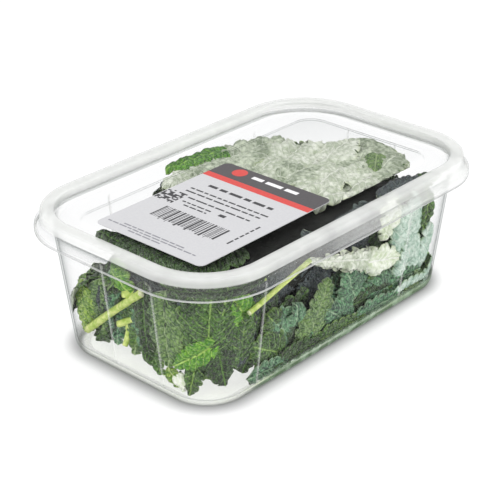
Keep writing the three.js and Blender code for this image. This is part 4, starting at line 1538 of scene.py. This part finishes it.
@dataclass
class Label:
    """The paper label: the frame's own paper with generic printed marks on it.

    Label coordinates run along the label towards its dark band, and across it. Each of LINES has
    its place along the label, its start and end across it, the height of its bars, the longest bar
    and the ink.
    """
    middle: tuple[float, float] = (-32.3, -4.0)
    turn: float = 0.4
    top: float = 61.3
    length: float = 80.4
    width: float = 60.2
    corner_radius: float = 3.0
    ink_height: float = 0.02
    band: tuple[float, float] = (28.0, 40.2)
    stripe: tuple[float, float] = (24.0, 28.0)
    bar_module: float = 0.375
    disc: tuple[float, float] = (35.2, 18.0)
    disc_radius: float = 3.6
    seed: int = 7

    LINES = (
        (16.7, 19.2, -17.3, 1.9, 9.0, Ink.BLACK), (10.0, 23.5, -20.5, 1.0, 6.0, Ink.BLACK),
        (6.8, 23.4, -20.5, 1.0, 6.0, Ink.BLACK), (2.2, 17.6, -17.4, 1.0, 7.0, Ink.BLACK),
        (-1.9, 17.0, 0.2, 0.9, 5.0, Ink.BLACK), (-4.4, 14.0, 1.0, 0.9, 5.0, Ink.BLACK),
        (-1.9, -4.0, -8.5, 2.0, 4.0, Ink.BLACK), (-33.0, 20.0, -14.0, 0.8, 5.0, Ink.FAINT),
        (-34.8, 27.5, -22.0, 0.8, 5.0, Ink.FAINT), (-36.6, 14.0, -4.0, 0.8, 5.0, Ink.FAINT),
    )

    def words(self, draw: random.Random, along: float, start: float, end: float, height: float,
              longest: float, ink: Ink) -> list[Mark]:
        """Greeked words: a line of plain bars of uneven length that runs across the label.

        Args:
            draw: The source of random lengths.
            along: The line's place along the label.
            start: Where it starts across the label.
            end: Where it ends, below start.
            height: The height of the bars.
            longest: The longest bar.
            ink: The ink.

        Returns:
            The bars.
        """
        marks = []
        at = start
        while at - end > height:
            size = min(draw.uniform(0.35, 1.0) * longest, at - end)
            marks.append(Mark((along, at - size / 2), (height, size), ink))
            at -= size + height * 0.8
        return marks

    def marks(self) -> list[Mark]:
        """All the printed marks.

        Returns:
            The marks, the lowest layers first.
        """
        draw = random.Random(self.seed)
        marks = []
        for line in self.LINES:
            marks += self.words(draw, *line)
        cells, cell, corner = 11, 0.95, (-6.6, 19.2)
        for row in range(cells):
            for column in range(cells):
                if draw.random() < 0.52:
                    middle = (corner[0] + (row + 0.5) * cell, corner[1] + (column + 0.5) * cell)
                    marks.append(Mark(middle, (cell, cell), Ink.BLACK))
        at, low, high = 18.5, -21.3, -9.6
        while at > -17.0:
            size = draw.choice((1, 1, 2, 3)) * self.bar_module
            shorter = 1.2 if draw.random() < 0.8 else 0.0
            middle = ((low + high + shorter) / 2, at - size / 2)
            marks.append(Mark(middle, (high - low - shorter, size), Ink.BLACK))
            at -= size + draw.choice((1, 2, 2)) * self.bar_module
        at = -19.0
        while at < 0:
            size = draw.uniform(2.0, 4.0)
            marks.append(Mark((at + size / 2, -24.2), (size, 0.9), Ink.BLACK))
            at += size + 0.9
        at = 10.5
        for size in (6.2, 9.0, 7.0):
            marks.append(Mark((35.2, at - size / 2), (2.4, size), Ink.WHITE, 1))
            at -= size + 1.8
        return marks

    def field_of_colour(self, bm: bmesh.types.BMesh, start: float, end: float, ink: Ink,
                        rounds: bool) -> None:
        """Adds a field that is as wide as the label.

        Args:
            bm: The bmesh.
            start: Where it starts along the label.
            end: Where it ends.
            ink: The ink.
            rounds: Whether its far corners follow the label's rounded corners.
        """
        verts = bmesh.ops.create_grid(bm, x_segments=1, y_segments=1, size=0.5)["verts"]
        bmesh.ops.scale(bm, vec=(end - start, self.width - 0.1, 1), verts=verts)
        bmesh.ops.translate(bm, vec=((start + end) / 2, 0, 0), verts=verts)
        old = set(bm.faces) - set(verts[0].link_faces)
        if rounds:
            far = [vert for vert in verts if vert.co.x > (start + end) / 2]
            bmesh.ops.bevel(bm, geom=far, offset=self.corner_radius, offset_type="OFFSET", segments=8,
                            profile=0.5, affect="VERTICES", material=-1)
        for face in set(bm.faces) - old:
            face.material_index = list(Ink).index(ink)

    def build(self) -> bpy.types.Object:
        """Dresses the frame's label and prints on it.

        Returns:
            The print.
        """
        paper = CoatedPaper("thermal_label_paper", "CDCDCF", "C8C8CB", 0.5).material()
        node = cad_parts["label"]
        node.data.materials.clear()
        node.data.materials.append(paper)
        piece = MeshPiece("label_print", [ink.value.material() for ink in Ink])
        bm = piece.bm
        self.field_of_colour(bm, *self.band, Ink.GREY, True)
        self.field_of_colour(bm, *self.stripe, Ink.RED, False)
        disc = bmesh.ops.create_circle(bm, cap_ends=True, radius=self.disc_radius, segments=32)["verts"]
        bmesh.ops.translate(bm, vec=(*self.disc, self.ink_height), verts=disc)
        for face in {face for vert in disc for face in vert.link_faces}:
            face.material_index = list(Ink).index(Ink.RED)
        for mark in self.marks():
            verts = bmesh.ops.create_grid(bm, x_segments=1, y_segments=1, size=0.5)["verts"]
            bmesh.ops.scale(bm, vec=(*mark.size, 1), verts=verts)
            bmesh.ops.translate(bm, vec=(*mark.middle, mark.layer * self.ink_height), verts=verts)
            verts[0].link_faces[0].material_index = list(Ink).index(mark.ink)
        fields = bm.faces[:]
        raised = bmesh.ops.extrude_face_region(bm, geom=fields, use_keep_orig=True)["geom"]
        tops = [item for item in raised if isinstance(item, bmesh.types.BMVert)]
        bmesh.ops.translate(bm, vec=(0, 0, self.ink_height), verts=tops)
        bmesh.ops.recalc_face_normals(bm, faces=bm.faces)
        turned = Matrix.Rotation(math.radians(self.turn), 4, "Z")
        place = Matrix.Translation((*self.middle, self.top)) @ turned
        bmesh.ops.transform(bm, matrix=place, verts=bm.verts)
        return piece.finish(smooth=False)


# ---- Studio ----


@dataclass(frozen=True)
class ViewPoint:
    """The photograph's camera, in the pack's frame. Lengths are millimetres and pixels."""
    yaw: float = 47.6
    pitch: float = 27.2
    roll: float = -0.3
    right: float = -4.4
    up: float = 26.0
    distance: float = 657.8
    focal_pixels: float = 1457.1
    picture: int = 500
    sensor: float = 36.0

    def build(self) -> bpy.types.Object:
        """Makes the camera and gives it to the scene.

        Returns:
            The camera's object.
        """
        yaw, pitch, roll = (math.radians(a) for a in (self.yaw, self.pitch, self.roll))
        ahead = Vector((math.sin(yaw) * math.cos(pitch), math.cos(yaw) * math.cos(pitch), -math.sin(pitch)))
        level = Vector((math.cos(yaw), -math.sin(yaw), 0))
        upright = level.cross(ahead)
        place = (upright * self.up + level * self.right - ahead * self.distance) * MM
        right = level * math.cos(roll) + upright * math.sin(roll)
        up = upright * math.cos(roll) - level * math.sin(roll)
        data = bpy.data.cameras.new("photo_camera")
        data.sensor_width = self.sensor
        data.lens = self.focal_pixels / self.picture * self.sensor
        data.clip_start = 0.05
        camera = bpy.data.objects.new("photo_camera", data)
        camera.matrix_world = Matrix((
            (right.x, up.x, -ahead.x, place.x), (right.y, up.y, -ahead.y, place.y),
            (right.z, up.z, -ahead.z, place.z), (0, 0, 0, 1)))
        bpy.context.scene.collection.objects.link(camera)
        bpy.context.scene.camera = camera
        return camera


@dataclass(frozen=True)
class Studio:
    """A softly glowing white floor under a white room, with soft lamps.

    The floor's glow is painted dimmer in a narrow line round the tub's foot, a painted contact
    shadow, and painted brighter under the tub. The brighter floor under the tub fades into that line
    between the values of foot, and the line fades out between those of shadow, both as distances
    from the rectangle of the corners' middles.
    """
    outline: Outline
    floor_size: float = 12.0
    foot: tuple[float, float] = (15.8, 18.6)
    shadow: tuple[float, float] = (17.4, 27.6)
    low_light: float = 0.65
    high_light: float = 1.05
    floor_glow: float = 0.7
    painted_shadow_glow: float = 0.12
    painted_under_tub_glow: float = 1.45
    lamps: tuple[tuple[str, tuple[float, float, float], float, float], ...] = (
        ("softbox_left", (-0.9, -0.35, 1.0), 0.5, 6.0),
        ("softbox_right", (0.7, -1.1, 0.4), 0.4, 5.0),
    )

    def build(self) -> None:
        """Makes the floor, the world and the lamps."""
        world = bpy.data.worlds.new("white_room")
        bpy.context.scene.world = world
        world.use_nodes = True
        tree = world.node_tree
        back = tree.nodes["Background"]
        way = add(tree, "ShaderNodeTexCoord")
        height = add(tree, "ShaderNodeSeparateXYZ", links={0: way.outputs["Generated"]})
        glow = add(tree, "ShaderNodeMapRange", {3: self.low_light, 4: self.high_light},
                   {0: height.outputs[2]})
        back.inputs["Color"].default_value = linear("FFFFFF")
        tree.links.new(glow.outputs[0], back.inputs["Strength"])
        bm = bmesh.new()
        bmesh.ops.create_grid(bm, x_segments=1, y_segments=1, size=self.floor_size / 2)
        mesh = bpy.data.meshes.new("studio_floor")
        bm.to_mesh(mesh)
        bm.free()
        mesh.materials.append(self.floor_material())
        floor = bpy.data.objects.new("studio_floor", mesh)
        bpy.context.scene.collection.objects.link(floor)
        for name, place, size, power in self.lamps:
            data = bpy.data.lights.new(name, "AREA")
            data.shape = "DISK"
            data.size = size
            data.energy = power
            lamp = bpy.data.objects.new(name, data)
            lamp.location = place
            aim = Vector((0, 0, 0.03)) - Vector(place)
            lamp.rotation_euler = aim.to_track_quat("-Z", "Y").to_euler()
            bpy.context.scene.collection.objects.link(lamp)
        bpy.context.scene.view_settings.view_transform = "Standard"

    def floor_material(self) -> bpy.types.Material:
        """Builds the floor's material, with its painted shadow line round the foot and painted glow under
        the tub.

        Returns:
            The material.
        """
        material, tree = blank_material("studio_white_painted_shadow")
        middle = self.outline.centre * MM
        place = add(tree, "ShaderNodeTexCoord")
        folded = add(tree, "ShaderNodeVectorMath", links={0: place.outputs["Object"]}, operation="ABSOLUTE")
        past = add(tree, "ShaderNodeVectorMath", {1: (middle.x, middle.y, 0)}, {0: folded.outputs[0]},
                   operation="SUBTRACT")
        out = add(tree, "ShaderNodeVectorMath", {1: (0, 0, 0)}, {0: past.outputs[0]}, operation="MAXIMUM")
        way = add(tree, "ShaderNodeVectorMath", links={0: out.outputs[0]}, operation="LENGTH")
        # Painted light: the floor under the tub glows brighter and dims into a painted shadow at the foot.
        under = add(tree, "ShaderNodeMapRange",
                    {1: self.foot[1] * MM, 2: self.foot[0] * MM, 3: self.painted_shadow_glow, 4: self.painted_under_tub_glow},
                    {0: way.outputs["Value"]}, interpolation_type="SMOOTHSTEP")
        # Painted contact shadow: the dim line fades back to the full glow outside the foot.
        beyond = add(tree, "ShaderNodeMapRange",
                     {1: self.shadow[0] * MM, 2: self.shadow[1] * MM, 3: self.painted_shadow_glow, 4: 1.0},
                     {0: way.outputs["Value"]}, interpolation_type="SMOOTHSTEP")
        share = add(tree, "ShaderNodeMath", links={0: under.outputs[0], 1: beyond.outputs[0]},
                    operation="MAXIMUM")
        glow = add(tree, "ShaderNodeMath", {1: self.floor_glow}, {0: share.outputs[0]}, operation="MULTIPLY")
        matt = add(tree, "ShaderNodeBsdfPrincipled",
                   {"Base Color": linear("A2A2A3"), "Roughness": 0.8, "Specular IOR Level": 0.1,
                    "Emission Color": linear("FFFFFF")},
                   {"Emission Strength": glow.outputs[0]})
        add(tree, "ShaderNodeOutputMaterial", links={"Surface": matt.outputs[0]})
        return material


def main() -> None:
    """Builds the studio and the pack's pieces in order."""
    logging.basicConfig(level=logging.INFO, format="%(message)s")
    ViewPoint().build()
    outline = Outline()
    Studio(outline).build()
    tub = Tub(outline)
    tub.build(ClearPolypropylene("clear_polypropylene_tub").material(),
              # The foot's edge has a greyer greenish milk: painted shade.
              ClearPolypropylene("clear_polypropylene_foot_edge_painted_shade", edge_tint="D8DCDA",
                                 milk="B9BCAE").material(),
              # The bend's green milk, blotted darker, is a painted reflection of the leaves.
              ClearPolypropylene("clear_polypropylene_bend_painted_reflection", edge_tint="D8DCDA", milk="8CA588",
                                 milk_shade="527048").material(),
              # The base's green milk is painted light, the green that the leaves throw on it.
              ClearPolypropylene("clear_polypropylene_base_painted_light", milk="A8B880").material())
    Lid(outline, Outline(151.0, 72.0, 9.0)).build(
        ClearPolypropylene("clear_polypropylene_lid").material(),
        # The fold's dark milk is painted shade in the fold above the lid's lower edge.
        ClearPolypropylene("clear_polypropylene_fold_painted_shade", milk="4C4F55").material())
    Label().build()
    Heap(Room(tub)).build()
    bpy.context.scene.cycles.transparent_max_bounces = 24
    bpy.context.view_layer.update()


if __name__ == "__main__":
    main()
